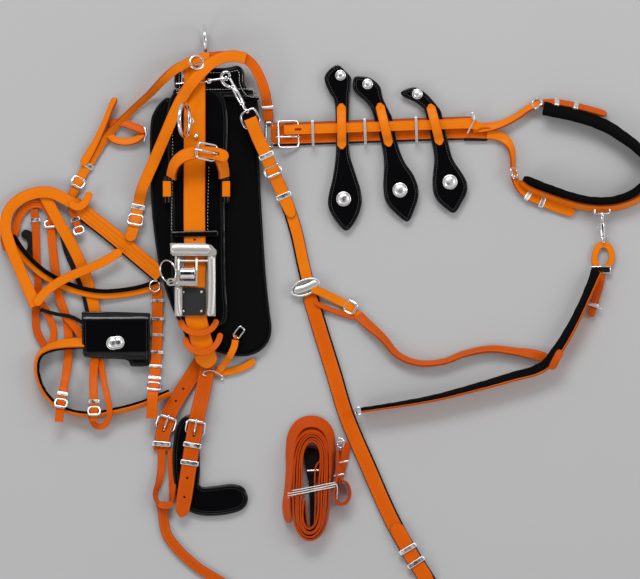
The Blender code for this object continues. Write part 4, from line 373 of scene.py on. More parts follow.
def coated_strap(name, colour, deep, roughness=0.4):
    """Coated webbing: fine grain over a faint weave, deeper colour at the edges, and slight scuffs."""
    look = Look(name, colour, roughness, Specular_IOR_Level=0.14)
    across = look.node("Attribute", {}, attribute_name="across").outputs["Fac"]
    edge = look.math("POWER", look.math("ABSOLUTE", across), 14.0)
    cloud = look.spread(look.noise(24.0, 4.0), 0.35, 0.7, 0.0, 0.55)
    shade = look.math("ADD", look.math("MULTIPLY", edge, 0.6), look.math("MULTIPLY", cloud, 0.35))
    scuff = look.spread(look.noise(420.0, 6.0, 0.7), 0.66, 0.78, 0.0, 0.18)
    pale = tuple(min(1.0, part * 1.1 + 0.004) for part in colour)
    look.colour(look.mix(scuff, look.mix(shade, colour, deep), pale))
    look.rough(look.spread(look.noise(90.0, 5.0), 0.3, 0.7, roughness - 0.07, roughness + 0.1))
    look.bump(look.cells(1500.0), 0.10 * MM, 0.35)
    look.bump(look.noise(260.0, 5.0), 0.3 * MM, 0.35)
    return look.material


def patent(name, colour=(0.003, 0.003, 0.0035)):
    """Black patent leather: a wet gloss over slow waves and a few fine creases."""
    look = Look(name, colour, 0.07, Coat_Weight=0.16, Coat_Roughness=0.03, Specular_IOR_Level=0.28)
    look.rough(look.spread(look.noise(70.0, 4.0), 0.3, 0.7, 0.05, 0.14))
    dust = look.spread(look.noise(900.0, 4.0, 0.8), 0.68, 0.8, 0.0, 0.3)
    look.colour(look.mix(dust, colour, (0.02, 0.02, 0.022)))
    look.bump(look.noise(38.0, 2.0), 2.4 * MM, 0.6)
    look.bump(look.cells(1100.0), 0.05 * MM, 0.3)
    return look.material


def felt(name, colour=(0.002, 0.002, 0.0022)):
    """Black felt: matted fibres, a few a little lighter."""
    look = Look(name, colour, 0.95, Specular_IOR_Level=0.06)
    fibres = look.noise(1300.0, 8.0, 0.75)
    look.colour(look.mix(look.spread(fibres, 0.4, 0.75, 0.0, 1.0), colour, shaded(colour, 2.6)))
    look.bump(fibres, 0.5 * MM, 0.6)
    look.bump(look.noise(120.0, 4.0), 1.0 * MM, 0.4)
    return look.material


def webbing(name, colour=(0.004, 0.004, 0.004), pale=(0.014, 0.013, 0.012)):
    """Black webbing: crossed threads."""
    look = Look(name, colour, 0.62, Specular_IOR_Level=0.15)
    threads = look.math("MULTIPLY", look.wave("DIAGONAL", 260.0), look.wave("X", 330.0))
    look.colour(look.mix(threads, colour, pale))
    look.bump(threads, 0.3 * MM, 0.5)
    return look.material


def chromed(name, colour=(0.83, 0.83, 0.84), roughness=0.08):
    """Polished plating with faint wipe marks and a little grime."""
    look = Look(name, colour, roughness, 1.0)
    look.rough(look.spread(look.noise(170.0, 5.0, 0.65), 0.35, 0.75, roughness * 0.6, roughness * 2.6))
    grime = look.spread(look.noise(60.0, 6.0, 0.7), 0.62, 0.8, 0.0, 0.35)
    look.colour(look.mix(grime, colour, shaded(colour, 0.55)))
    look.bump(look.noise(700.0, 3.0), 0.03 * MM, 0.5)
    return look.material


def brushed(name, colour=(0.80, 0.78, 0.74), roughness=0.46):
    """Brushed steel: long fine lines and darker stains."""
    look = Look(name, colour, roughness, 1.0)
    lines = look.streaks(5.0, 0.7, (60.0, 1500.0, 1500.0))
    look.rough(look.spread(lines, 0.3, 0.7, roughness - 0.1, roughness + 0.14))
    tone = look.mix(look.spread(lines, 0.35, 0.7, 0.0, 0.6), colour, shaded(colour, 0.68))
    stain = look.spread(look.noise(45.0, 5.0, 0.7), 0.58, 0.8, 0.0, 0.4)
    look.colour(look.mix(stain, tone, shaded(colour, 0.6)))
    look.bump(lines, 0.05 * MM, 0.5)
    return look.material


def rubber(name):
    look = Look(name, (0.012, 0.012, 0.012), 0.55)
    grain = look.cells(1000.0)
    look.colour(look.mix(look.spread(grain, 0.0, 0.7, 0.0, 1.0), (0.02, 0.02, 0.02), (0.009, 0.009, 0.009)))
    look.bump(grain, 0.15 * MM, 0.5)
    return look.material


def thread(name, colour, pale):
    """Twisted thread or cord."""
    look = Look(name, colour, 0.55, Sheen_Weight=0.1)
    twist = look.streaks(3.0, 0.5, (2600.0, 2600.0, 2600.0))
    look.colour(look.mix(twist, colour, pale))
    look.bump(twist, 0.12 * MM, 0.6)
    return look.material


LOOKS = {
    "orange": coated_strap("orange_strap_face", (0.86, 0.205, 0.0015), (0.58, 0.09, 0.001)),
    "orange_edge": coated_strap("orange_strap_edge", (0.62, 0.10, 0.002), (0.34, 0.04, 0.001), 0.55),
    # The next three looks are darker copies of the orange face: painted shade on straps that get less light.
    "burnt": coated_strap("painted_shade_strap_face", (0.60, 0.088, 0.002), (0.34, 0.04, 0.001)),
    "deep": coated_strap("painted_half_shade_strap_face", (0.72, 0.118, 0.001), (0.42, 0.055, 0.001)),
    "painted_dark_shade_orange": coated_strap("painted_dark_shade_strap_face", (0.59, 0.073, 0.001), (0.38, 0.036, 0.001)),
    "dull": chromed("dull_chrome_face", (0.86, 0.85, 0.83), 0.27),
    "grey_thread": thread("grey_thread", (0.04, 0.039, 0.037), (0.13, 0.128, 0.125)),
    "patent": patent("black_patent_face"),
    "felt": felt("black_felt_face"),
    "webbing": webbing("black_webbing_face"),
    "chrome": chromed("chrome_face"),
    "brushed": brushed("brushed_metal_face"),
    "rubber": rubber("rubber_face"),
    "white_thread": thread("white_thread", (0.78, 0.76, 0.72), (0.9, 0.9, 0.88)),
    "orange_thread": thread("orange_thread", (0.70, 0.14, 0.005), (0.95, 0.30, 0.02)),
    "burnt_thread": thread("burnt_thread", (0.45, 0.06, 0.001), (0.6, 0.1, 0.004)),
    "black_thread": thread("black_thread", (0.015, 0.015, 0.016), (0.05, 0.05, 0.05)),
}


# Places and lines

def at(px, py, z=0.0):
    """World place of a pixel of the view from above."""
    return Vector(((px - CENTRE_PX[0]) * PIXEL, (CENTRE_PX[1] - py) * PIXEL, z))


def level_px(table):
    return [tuple(at(px, py)[:2]) for px, py in table]


def unit(rows):
    return rows / np.maximum(np.linalg.norm(rows, axis=-1, keepdims=True), 1e-12)


def runs_of(points):
    """Distance along a line at each of its points."""
    return np.concatenate(([0.0], np.cumsum(np.linalg.norm(np.diff(points, axis=0), axis=1))))


def sampled(stops, marks, table):
    return np.stack([np.interp(stops, marks, column) for column in table.T], 1)


def around(steps):
    return np.linspace(0, 2 * math.pi, steps, endpoint=False)


def basis(way):
    """Two ways square to a way."""
    side = unit(np.cross(way, (0.0, 0.0, 1.0) if abs(way[2]) < 0.9 else (1.0, 0.0, 0.0)))
    return side, np.cross(way, side)


class Path:
    """A smooth line through a route, known by the distance along it."""

    FINE = 24

    def __init__(self, route, width, thick=STRAP):
        places, turns = [], []
        for px, py, *rest in route:
            deck = rest.pop(0) if rest and isinstance(rest[0], str) else F
            layer, lean, swell = (*rest, *(0.0, 0.0, 1.0)[len(rest):])
            lean = math.radians(lean)
            rise = abs(math.sin(lean)) * width / 2 + abs(math.cos(lean)) * thick / 2
            places.append(at(px, py, DECKS[deck] + layer * LAYER + rise))
            turns.append(np.array((lean, swell)))
        last = len(places) - 1
        tangents = []
        for index, place in enumerate(places):
            before, after = places[max(index - 1, 0)], places[min(index + 1, last)]
            if 0 < index < last:
                tangents.append(((place - before).normalized() + (after - place).normalized()).normalized())
            else:
                tangents.append((after - before).normalized())
        rows = []
        for index in range(last):
            start, end = places[index], places[index + 1]
            chord = (end - start).length
            for t in np.arange(self.FINE) / self.FINE:
                t = float(t)
                place = (start * (2 * t ** 3 - 3 * t ** 2 + 1) + end * (3 * t ** 2 - 2 * t ** 3)
                         + tangents[index] * chord * (t ** 3 - 2 * t ** 2 + t)
                         + tangents[index + 1] * chord * (t ** 3 - t ** 2))
                rows.append((*place, *(turns[index] + (turns[index + 1] - turns[index]) * t)))
        rows.append((*places[-1], *turns[-1]))
        self.rows = np.array(rows)
        self.marks = runs_of(self.rows[:, :3])
        self.length = float(self.marks[-1])
        self.ways = unit(np.gradient(self.rows[:, :3], self.marks, axis=0))
        self.width, self.thick = width, thick

    def near(self, px, py):
        """Distance along the line of its point closest to a pixel, seen from above."""
        target = np.array(at(px, py)[:2])
        return float(self.marks[np.argmin(np.linalg.norm(self.rows[:, :2] - target, axis=1))])

    def frames(self, distances):
        """Place, way along, way across, way up and swell at each distance."""
        distances = np.clip(np.atleast_1d(distances), 0.0, self.length)
        rows = sampled(distances, self.marks, self.rows)
        along = unit(sampled(distances, self.marks, self.ways))
        lean = rows[:, 3:4]
        level = unit(np.stack([along[:, 1], -along[:, 0], 0 * along[:, 0]], 1))
        across = unit(level * np.cos(lean) - np.cross(along, level) * np.sin(lean))
        return rows[:, :3], along, across, unit(np.cross(across, along)), rows[:, 4]

    def spot(self, px, py, back=False, aside=0.0, lift=0.0):
        place, along, across, up, _ = (part[0] for part in self.frames(self.near(px, py)))
        if back:
            along, across = -along, -across
        return Spot(place + across * aside + up * lift, along, across, up, self.width, self.thick)


class Spot:
    """A place on a strap: its centre, the way along it, across it and out of its upper face."""

    def __init__(self, place, along, across, up, width, thick):
        self.place = place
        self.ways = np.stack([across, along, up])
        self.width, self.thick = width, thick

    def points(self, rows):
        """World points of rows of across, along and up."""
        return self.place + np.atleast_2d(np.array(rows, float)) @ self.ways


def skin(rings, closed=False):
    """Quads between rings of equal count, and end caps."""
    rings = [np.array(ring, float) for ring in rings]
    count, total = len(rings[0]), len(rings)
    faces = []
    for row in range(total if closed else total - 1):
        a = row * count
        b = (row + 1) % total * count
        faces.extend((a + k, a + (k + 1) % count, b + (k + 1) % count, b + k) for k in range(count))
    if not closed:
        faces.append(tuple(reversed(range(count))))
        faces.append(tuple(range((total - 1) * count, total * count)))
    return np.concatenate(rings), faces


def slab_section(low, high, half, corner, crown=0.0, groove=0.0, shift=0.0):
    """The outline of a strap's section: rounded edges, a crowned face and a sunk line for stitches."""
    corner = min(corner, (high - low) / 2 - 0.01 * MM)
    right = [(0.0, high + crown)]
    if groove:
        inner = half - STITCH_INSET
        level = high + crown * (1 - (inner / half) ** 2)
        right += [(inner * 0.55, high + crown * 0.72), (inner - 0.6 * MM, level), (inner, level - groove),
                  (inner + 0.6 * MM, level)]
    else:
        right += [(half * 0.4, high + crown * 0.84), (half * 0.72, high + crown * 0.5)]
    turns = [math.radians(30 * step) for step in range(4)]
    right += [(half - corner + corner * math.sin(turn), high - corner + corner * math.cos(turn)) for turn in turns]
    right.append((half, (low + high) / 2))
    right += [(half - corner + corner * math.cos(turn), low + corner - corner * math.sin(turn)) for turn in turns]
    right.append((half * 0.5, low))
    outline = np.array(right + [(0.0, low)] + [(-x, y) for x, y in reversed(right[1:])])
    outline[:, 0] += shift
    return outline


def strap_section(path, corner=CORNER, crown=0.0, groove=GROOVE, trim=0.0):
    return slab_section(-path.thick / 2, path.thick / 2, path.width / 2 - trim, corner, crown, groove)


def tip_share(distance, reach):
    share = min(1.0, max(0.0, distance / reach))
    return math.sqrt(max(0.0, 1 - (1 - share) ** 2))


def tube(points, radius, closed=False, sides=12, flat=1.0):
    """Rings of a round wire through points, with rounded ends. radius may vary by point."""
    points = np.array(points, float)
    radii = np.full(len(points), radius) if np.isscalar(radius) else np.array(radius, float)
    if closed:
        ways = unit(np.roll(points, -1, 0) - np.roll(points, 1, 0))
    else:
        ways = unit(np.gradient(points, axis=0))
        rounds = [(math.sin(math.radians(angle)), math.cos(math.radians(angle))) for angle in (30, 60, 80)]
        points = np.vstack([[points[0] - ways[0] * radii[0] * out for out, _ in reversed(rounds)], points,
                            [points[-1] + ways[-1] * radii[-1] * out for out, _ in rounds]])
        radii = np.concatenate([[radii[0] * fall for _, fall in reversed(rounds)], radii,
                                [radii[-1] * fall for _, fall in rounds]])
        ways = np.vstack([[ways[0]] * 3, ways, [ways[-1]] * 3])

    def rings(drift):
        side = basis(ways[0])[0]
        rows = []
        for index, way in enumerate(ways):
            side = unit(side - way * (side @ way))
            turn = around(sides) + drift * index / len(ways)
            rows.append(points[index] + radii[index] * (np.outer(np.cos(turn), side)
                                                        + flat * np.outer(np.sin(turn), np.cross(way, side))))
        return rows, side

    rows, side = rings(0.0)
    if closed:
        side = unit(side - ways[0] * (side @ ways[0]))
        first = unit(rows[0][0] - points[0])
        rows, _ = rings(math.atan2(np.cross(side, first) @ ways[0], side @ first))
    return skin(rows, closed)


def eased(points, corner, closed=False, steps=6):
    """A row of points with its corners rounded off."""
    points = [np.array(point, float) for point in points]
    out = []
    for index, point in enumerate(points):
        if not closed and index in (0, len(points) - 1):
            out.append(point)
            continue
        back = points[index - 1] - point
        ahead = points[(index + 1) % len(points)] - point
        reach = min(corner, np.linalg.norm(back) * 0.48, np.linalg.norm(ahead) * 0.48)
        start = point + unit(back) * reach
        end = point + unit(ahead) * reach
        for step in range(steps + 1):
            t = step / steps
            out.append(start * (1 - t) ** 2 + point * 2 * t * (1 - t) + end * t ** 2)
    return out


def flowing(points, closed=True, step=1.0 * MM):
    """A Catmull-Rom line through points, sampled evenly enough."""
    points = [np.array(point, float) for point in points]
    count = len(points)
    out = []
    for index in range(count if closed else count - 1):
        a, b, c, d = (points[(index + k) % count if closed else min(max(index + k, 0), count - 1)]
                      for k in (-1, 0, 1, 2))
        pieces = max(1, int(np.linalg.norm(c - b) / step))
        for part in range(pieces):
            t = part / pieces
            out.append(0.5 * (2 * b + (c - a) * t + (2 * a - 5 * b + 4 * c - d) * t ** 2
                              + (3 * b - a - 3 * c + d) * t ** 3))
    if not closed:
        out.append(points[-1])
    return out


def ring(centre, axis, radius, steps=48):
    side, other = basis(unit(np.array(axis, float)))
    turn = around(steps)
    return np.array(centre, float) + radius * (np.outer(np.cos(turn), side) + np.outer(np.sin(turn), other))


# Meshes and pieces

def ridden(piece, body, slot, *nodes):
    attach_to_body(piece, body)
    if nodes:
        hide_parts(*nodes)
    return piece


def attach(piece, parent):
    """A piece that goes with another."""
    piece.parent = parent
    return piece


def placed(name, mesh, sharp):
    """An object of a mesh, smooth but for edges sharper than an angle."""
    mesh.shade_smooth()
    mesh.set_sharp_from_angle(angle=math.radians(sharp))
    thing = bpy.data.objects.new(name, mesh)
    bpy.context.scene.collection.objects.link(thing)
    return thing


def outward(mesh, weld=0.0):
    work = bmesh.new()
    work.from_mesh(mesh)
    if weld:
        bmesh.ops.remove_doubles(work, verts=work.verts, dist=weld)
    bmesh.ops.recalc_face_normals(work, faces=work.faces)
    work.to_mesh(mesh)
    work.free()


class Shape:
    """Vertices and faces gathered for one mesh, with a finish for each face."""

    def __init__(self):
        self.points, self.faces, self.finishes, self.across = [], [], [], []
        self.count = 0

    def add(self, mesh, finish, across=None):
        """mesh is points and faces; finish is one name, or a name for each face."""
        points, faces = mesh
        self.points.append(np.array(points, float))
        self.faces.extend(tuple(int(index) + self.count for index in face) for face in faces)
        self.finishes.extend([finish] * len(faces) if isinstance(finish, str) else finish)
        self.across.append(np.zeros(len(points)) if across is None else across)
        self.count += len(points)
        return self

    def piece(self, name):
        mesh = bpy.data.meshes.new(name)
        mesh.from_pydata(np.concatenate(self.points).tolist(), [], self.faces)
        used = sorted(set(self.finishes))
        for finish in used:
            mesh.materials.append(LOOKS[finish])
        mesh.polygons.foreach_set("material_index", [used.index(finish) for finish in self.finishes])
        layer = mesh.attributes.new("across", "FLOAT", "POINT")
        layer.data.foreach_set("value", np.concatenate(self.across).astype(np.float32))
        mesh.update()
        outward(mesh)
        return placed(name, mesh, 38)

    def on(self, owner, name, slot="chrome"):
        return attach(self.piece(name), owner)

    def rides(self, name, body, slot, *nodes):
        return ridden(self.piece(name), body, slot, *nodes)

    def sweep(self, path, section, face, edge, tips=NONE, start=0.0, end=None, crease=0.0):
        """Sweeps a section along a path. face is the finish of level faces and edge that of the sides."""
        end = path.length if end is None else end
        reach = path.width * 0.5
        stops = set(np.linspace(start, end, max(2, int((end - start) / SWEEP_STEP) + 1)).tolist())
        for at_tip, sign, base in ((tips[0], 1, start), (tips[1], -1, end)):
            inset_by = reach if at_tip else BLUNT
            stops |= {base + sign * inset_by * (1 - math.cos(math.radians(step * 15))) for step in range(7)}
        kept = []
        for stop in sorted(stop for stop in stops if start <= stop <= end):
            if not kept or stop - kept[-1] > 0.02 * MM:
                kept.append(stop)
        place, _, across, up, swell = path.frames(kept)
        middle = (section[:, 1].min() + section[:, 1].max()) / 2
        rings = []
        for index, stop in enumerate(kept):
            wide = tall = swell[index]
            for at_tip, gap in ((tips[0], stop - start), (tips[1], end - stop)):
                if at_tip == "point":
                    wide *= min(1.0, 0.34 + 0.66 * gap / (reach * 0.8))
                elif at_tip:
                    wide *= max(0.06, tip_share(gap, reach))
                    tall *= 0.55 + 0.45 * tip_share(gap, reach)
                else:
                    tall *= 0.72 + 0.28 * tip_share(gap, BLUNT)
            rise = middle + (section[:, 1] - middle) * tall
            rise += crease * math.sin(stop * 310) * math.sin(stop * 97 + 1)
            rings.append(place[index] + np.outer(section[:, 0] * wide, across[index]) + np.outer(rise, up[index]))
        slope = np.abs(np.diff(np.vstack([section, section[:1]]), axis=0))
        kinds = [face if level else edge for level in slope[:, 0] > slope[:, 1]]
        wides = section[:, 0] / np.abs(section[:, 0]).max()
        return self.add(skin(rings), kinds * (len(rings) - 1) + [edge, edge], np.tile(wides, len(rings)))

    def strap(self, path, face="orange", tips=BOTH, edge=None, start=0.0, **section):
        """A plain strap along a path."""
        edge = edge or ("orange_edge" if face in ORANGES else face)
        return self.sweep(path, strap_section(path, **section), face, edge, tips, start)

    def metal_band(self, row, wide, crown, rise):
        """A crowned band of brushed metal through pixels at one height."""
        path = Path([(px, py, (rise - DECKS[F]) / LAYER) for px, py in row], wide, 1.2 * MM)
        return self.strap(path, "brushed", corner=0.5 * MM, crown=crown, groove=0.0)

    def wire(self, points, radius, finish="chrome", closed=False, sides=12, flat=1.0):
        return self.add(tube(points, radius, closed, sides, flat), finish)

    def turned(self, start, end, profile, finish="chrome", size=MM, steps=36):
        """A turned bar: profile rows are share along and radius as a share of size."""
        start, end = np.array(start, float), np.array(end, float)
        return self.add(skin([ring(start + (end - start) * share, end - start, radius * size, steps)
                              for share, radius in profile]), finish)

    def stud(self, place, radius, height, finish="dull"):
        """A domed stud with a rolled rim."""
        profile = [(0.0, 1.0), (0.08, 1.04), (0.2, 1.0), (0.26, 0.9)]
        for step in range(1, 11):
            angle = math.radians(9 * step)
            profile.append((0.26 + 0.74 * math.sin(angle), max(0.9 * math.cos(angle), 0.02 * MM / radius)))
        return self.turned(place, place + UP * height, profile, finish, radius, 40)

    def sleeve(self, spot, low, high, wall, corner, length, profile, finish):
        """A band round a strap. profile rows are share along and way outwards."""
        half = spot.width / 2 + FREE + wall
        loop = np.array(eased([(-half, low), (half, low), (half, high), (-half, high)], corner, True, 5))
        ways = unit(np.roll(loop, -1, 0) - np.roll(loop, 1, 0))
        normal = np.stack([ways[:, 1], -ways[:, 0]], 1)
        rings = []
        for share, out in profile:
            x, y = (loop + normal * out).T
            rings.append(spot.points(np.stack([x, np.full(len(x), share * length), y], 1)))
        return self.add(skin(rings, closed=True), finish)

    def keeper(self, spot, length=KEEPER_LENGTH, stack=1, finish="dull"):
        """A folded metal keeper round a strap, with crowned faces and eased corners."""
        over = (stack - 1) * LAYER + FREE if stack > 1 else 0.0
        return self.sleeve(spot, -spot.thick / 2 - KEEPER_WALL, spot.thick / 2 + over + KEEPER_WALL, KEEPER_WALL,
                           2.0 * MM, length, KEEPER_PROFILE, finish)

    def buckle(self, spot, length, stack=1):
        """A buckle frame: its back bar lies at the spot and its front rail further along, over the billet."""
        half = spot.width / 2 + FREE + WIRE
        rise = spot.thick / 2 + (stack - 1) * LAYER + SEAT + WIRE - BAR_UP
        corners = [(-half, 0.0), (-half, length), (half, length), (half, 0.0)]
        rows = [(x, y, BAR_UP + rise * y / length) for x, y in eased(corners, 3 * WIRE, True)]
        self.wire(spot.points(rows), WIRE, closed=True)
        low = BAR_UP + rise * 0.98
        rail = spot.points([(-half * 0.62, length, low), (half * 0.62, length, low)])
        return self.turned(*rail, ((0.0, 1.0), (0.02, 1.28), (0.98, 1.28), (1.0, 1.0)), size=WIRE)

    def threads(self, place, along, across, up, finish, size=1.0):
        """One short slanted thread at each place."""
        rows = np.array([(STITCH_RADIUS * swell * size * math.cos(angle), share * STITCH_LENGTH * size,
                          STITCH_RADIUS * swell * size * math.sin(angle) + (1 - (2 * share) ** 2) * STITCH_SINK)
                         for share, swell in STITCH_SHARES for angle in around(STITCH_SIDES)])
        x, y, z = rows.T
        cosine, sine = math.cos(STITCH_SLANT), math.sin(STITCH_SLANT)
        parts = ((x * cosine + y * sine, across), (y * cosine - x * sine, along), (z, up))
        cloud = place[:, None, :] + sum(part[None, :, None] * way[:, None, :] for part, way in parts)
        quads = skin([np.zeros((STITCH_SIDES, 3))] * len(STITCH_SHARES))[1]
        faces = [tuple(corner + index * len(rows) for corner in quad)
                 for index in range(len(place)) for quad in quads]
        return self.add((cloud.reshape(-1, 3), faces), finish)

    def stitched(self, path, x, start, end=None, sink=STITCH_SINK, finish="orange_thread"):
        """Two rows of stitches, at x on both sides of a strap's middle."""
        end = path.length - start if end is None else end
        if end - start >= 3 * STITCH_PITCH:
            place, along, across, up, _ = path.frames(np.arange(start, end, STITCH_PITCH))
            for side in (-x, x):
                self.threads(place + across * side + up * (path.thick / 2 - sink), along, across, up, finish)
        return self

    def seam(self, loop, z, finish):
        """Stitches along a closed level line."""
        closed = np.vstack([loop, loop[:1]])
        runs = runs_of(closed)
        count = int(runs[-1] / STITCH_PITCH)
        flat = sampled(np.linspace(0, runs[-1], count, endpoint=False), runs, closed)
        x, y = unit(np.roll(flat, -1, 0) - np.roll(flat, 1, 0)).T
        zero = np.zeros(count)
        return self.threads(np.column_stack([flat, zero + z]), np.column_stack([x, y, zero]),
                            np.column_stack([y, -x, zero]), np.tile((0.0, 0.0, 1.0), (count, 1)), finish)

    def bead(self, loop, z, radius, finish, flat=1.0):
        """A raised bead along a closed level line."""
        return self.wire(np.column_stack([loop, np.full(len(loop), z)]), radius, finish, True, 10, flat)


def shaped_mesh(thing):
    """Turns the modifiers of a piece into its mesh."""
    graph = bpy.context.evaluated_depsgraph_get()
    mesh = bpy.data.meshes.new_from_object(thing.evaluated_get(graph))
    thing.modifiers.clear()
    thing.data = mesh
    return thing


def plate(name, loop, thick, bottom, edge, steps=4, finish="patent"):
    """A level plate from its outline, with rounded edges."""
    data = bpy.data.curves.new(name, "CURVE")
    data.dimensions = "2D"
    data.fill_mode = "BOTH"
    data.extrude = thick / 2 - edge
    data.bevel_depth = edge
    data.bevel_resolution = steps
    data.offset = -edge
    spline = data.splines.new("POLY")
    spline.points.add(len(loop) - 1)
    spline.use_cyclic_u = True
    for slot, point in zip(spline.points, loop):
        slot.co = (*point, 0.0, 1.0)
    curve = bpy.data.objects.new(name + "_outline", data)
    bpy.context.scene.collection.objects.link(curve)
    graph = bpy.context.evaluated_depsgraph_get()
    mesh = bpy.data.meshes.new_from_object(curve.evaluated_get(graph))
    bpy.data.objects.remove(curve)
    mesh.transform(Matrix.Translation((0.0, 0.0, bottom + thick / 2)))
    outward(mesh, 0.005 * MM)
    mesh.materials.clear()
    mesh.materials.append(LOOKS[finish])
    return placed(name, mesh, 50)


def plate_on(owner, slot, name, table, *shape):
    """A plate from a table of pixels, which goes with its owner."""
    return attach(plate(name, level_px(table), *shape), owner)


def outline_of(table, step=2.0 * MM):
    return np.array([point[:2] for point in flowing([at(px, py) for px, py in table], True, step)])


def softened(loop, rounds=6):
    """A closed level line with its sharp turns eased."""
    for _ in range(rounds):
        loop = loop * 0.5 + (np.roll(loop, 1, 0) + np.roll(loop, -1, 0)) * 0.25
    return loop


def inset(loop, gap):
    """A closed level line moved inwards."""
    ways = unit(np.roll(loop, -1, 0) - np.roll(loop, 1, 0))
    area = (loop[:, 0] * np.roll(loop[:, 1], -1) - np.roll(loop[:, 0], -1) * loop[:, 1]).sum()
    return loop + np.stack([-ways[:, 1], ways[:, 0]], 1) * (gap if area > 0 else -gap)


def pierce(piece, spot, long_half, wide_half):
    """Cuts a punched hole or a tongue slot through a strap at a spot."""
    rounded = eased([(-wide_half, -long_half), (wide_half, -long_half), (wide_half, long_half),
                     (-wide_half, long_half)], wide_half, True)
    rings = [spot.points([(x, y, rise) for x, y in rounded]) for rise in (-LAYER, LAYER)]
    cutter = Shape().add(skin(rings), "orange_edge").piece("cutter")
    cutter.data.materials.clear()
    for material in piece.data.materials:
        cutter.data.materials.append(material)
    index = list(piece.data.materials).index(LOOKS["orange_edge"])
    cutter.data.polygons.foreach_set("material_index", [index] * len(cutter.data.polygons))
    modifier = piece.modifiers.new("hole", "BOOLEAN")
    modifier.operation = "DIFFERENCE"
    modifier.solver = "EXACT"
    modifier.object = cutter
    shaped_mesh(piece)
    bpy.data.objects.remove(cutter)


# Layers of a band: low and high share of its thickness, narrower, corner, crown, groove, finish
BANDS = {
    "backed": ((0, 0.5, False, CORNER, 0, 0, "webbing"), (0.5, 1, True, CORNER, 0, GROOVE, "orange")),
    # Backed, with the darker copy of the orange face, which is painted shade.
    "backed_painted_half_shade": ((0, 0.5, False, CORNER, 0, 0, "webbing"), (0.5, 1, True, CORNER, 0, GROOVE, "deep")),
    "lined": ((0, 0.4, False, 0.9 * MM, 0, 0, "orange"), (0.4, 0.95, True, 1.6 * MM, CROWN, 0, "felt")),
    "faced": ((0, 0.55, False, 1.2 * MM, 0, 0, "felt"), (0.55, 1, True, CORNER, 0, GROOVE, "orange")),
    "cushioned": ((0, 0.6, True, 1.6 * MM, CROWN, 0, "felt"), (0.6, 1, False, CORNER, 0, 0, "orange")),
    "felt": ((0, 1, False, DOCK_THICK * 0.42, 0, 0, "felt"),),
}


def band_piece(node, path, look="orange", tips=TAIL, name=None, stitch=True, shift=0.0, reveal=1.4 * MM,
               holes=(), start=0.0, end=None, crease=0.0):
    """A strap: its layers, its stitches and its holes."""
    name = name or node + "_webbing"
    half, thick = path.width / 2, path.thick
    end = path.length if end is None else end
    layers = BANDS.get(look, ((0, 1, False, CORNER, 0, GROOVE, look),))
    shape = Shape()
    for low, high, narrower, corner, crown, groove, face in layers:
        section = slab_section((low - 0.5) * thick, (high - 0.5) * thick, half - reveal if narrower else half,
                               corner, crown, groove, shift if narrower else 0.0)
        edge = "orange_edge" if face in ORANGES and look != "cushioned" else face
        shape.sweep(path, section, face, edge, tips, start, end, crease if face == "felt" else 0.0)
    piece = shape.piece(name)
    for px, py, size in holes:
        pierce(piece, path.spot(px, py), *size)
    padded = any(face == "felt" for *_, face in layers)
    ridden(piece, "harness", "black_felt" if padded else "orange_strap", node)
    if stitch and face != "felt":
        ends = [half if tip else 2.5 * MM for tip in tips]
        seams = Shape().stitched(path, half - STITCH_INSET - (reveal if narrower else 0.0), start + ends[0],
                                 end - ends[1])
        if seams.count:
            seams.on(piece, name + "_stitches", "orange_strap")
    return piece


def tongue_piece(name, spot, length, stack):
    """A buckle tongue: it hooks round the bar at the spot and lies on the rail further along."""
    gap = WIRE + SEAT + TONGUE_RADIUS
    rows = []
    for step in range(15):
        angle = math.radians(90 + TONGUE_TURN * (1 - step / 14))
        rows.append((0.0, gap * math.cos(angle), BAR_UP + gap * math.sin(angle)))
    top = STRAP / 2 + (stack - 1) * LAYER + SEAT + WIRE + gap
    rows += [(0.0, gap, BAR_UP + gap + (top - BAR_UP - gap) * BEND_RISE_SHARE), (0.0, length, top),
             (0.0, length + 2 * WIRE, top - TONGUE_RADIUS / 2)]
    places = flowing(spot.points(rows), False)
    radii = [TONGUE_RADIUS * (1 - 0.35 * max(0.0, index / len(places) - 0.75) / 0.25)
             for index in range(len(places))]
    return Shape().wire(places, radii).rides(name + "_polished", name, "chrome", name)


BEAD = 0.6 * MM
SEAM_RISE = 0.05 * MM


def patent_piece(node, table, bottom, thick, edge, border, finish="black_thread", body="harness"):
    """A patent plate with a rolled border and sunk stitches."""
    name = node + "_patent"
    loop = softened(outline_of(table), 3)
    piece = ridden(plate(name, loop, thick, bottom, edge), body, "black_patent", node)
    top = bottom + thick
    Shape().bead(softened(inset(loop, edge + BEAD)), top - BEAD * 0.35, BEAD, "patent",
                 0.8).on(piece, name + "_bead", "black_patent")
    Shape().seam(softened(inset(loop, edge + border)), top + SEAM_RISE, finish).on(
        piece, name + "_stitches", "white_cord" if finish == "grey_thread" else "black_patent")
    return piece


def ring_piece(node, centre, axis, radius, thick, body):
    return Shape().wire(ring(centre, axis, radius, 60), thick, closed=True, sides=14).rides(
        node + "_polished", body, "chrome", node)


# Saddle pad: a felt cushion, swollen by a cloth simulation with pressure
PAD_VOXEL = 5.0 * MM
PAD_RIM = 9.0 * MM
PAD_START = 12.5 * MM
PAD_INSET = 3.5 * MM
PAD_BEVEL = 5.2 * MM
PAD_PRESSURE = 4.0
SWELL_CAP = 7.0 * MM
SIM_FRAMES = 20
SEAM_INSET = 15.0 * MM
SEAM_DEPTH = 1.6 * MM
SEAM_SPREAD = 2.4 * MM


def places_of(thing):
    return np.array([vertex.co[:] for vertex in thing.data.vertices])


def move_to(thing, places):
    thing.data.vertices.foreach_set("co", places.astype(np.float32).ravel())


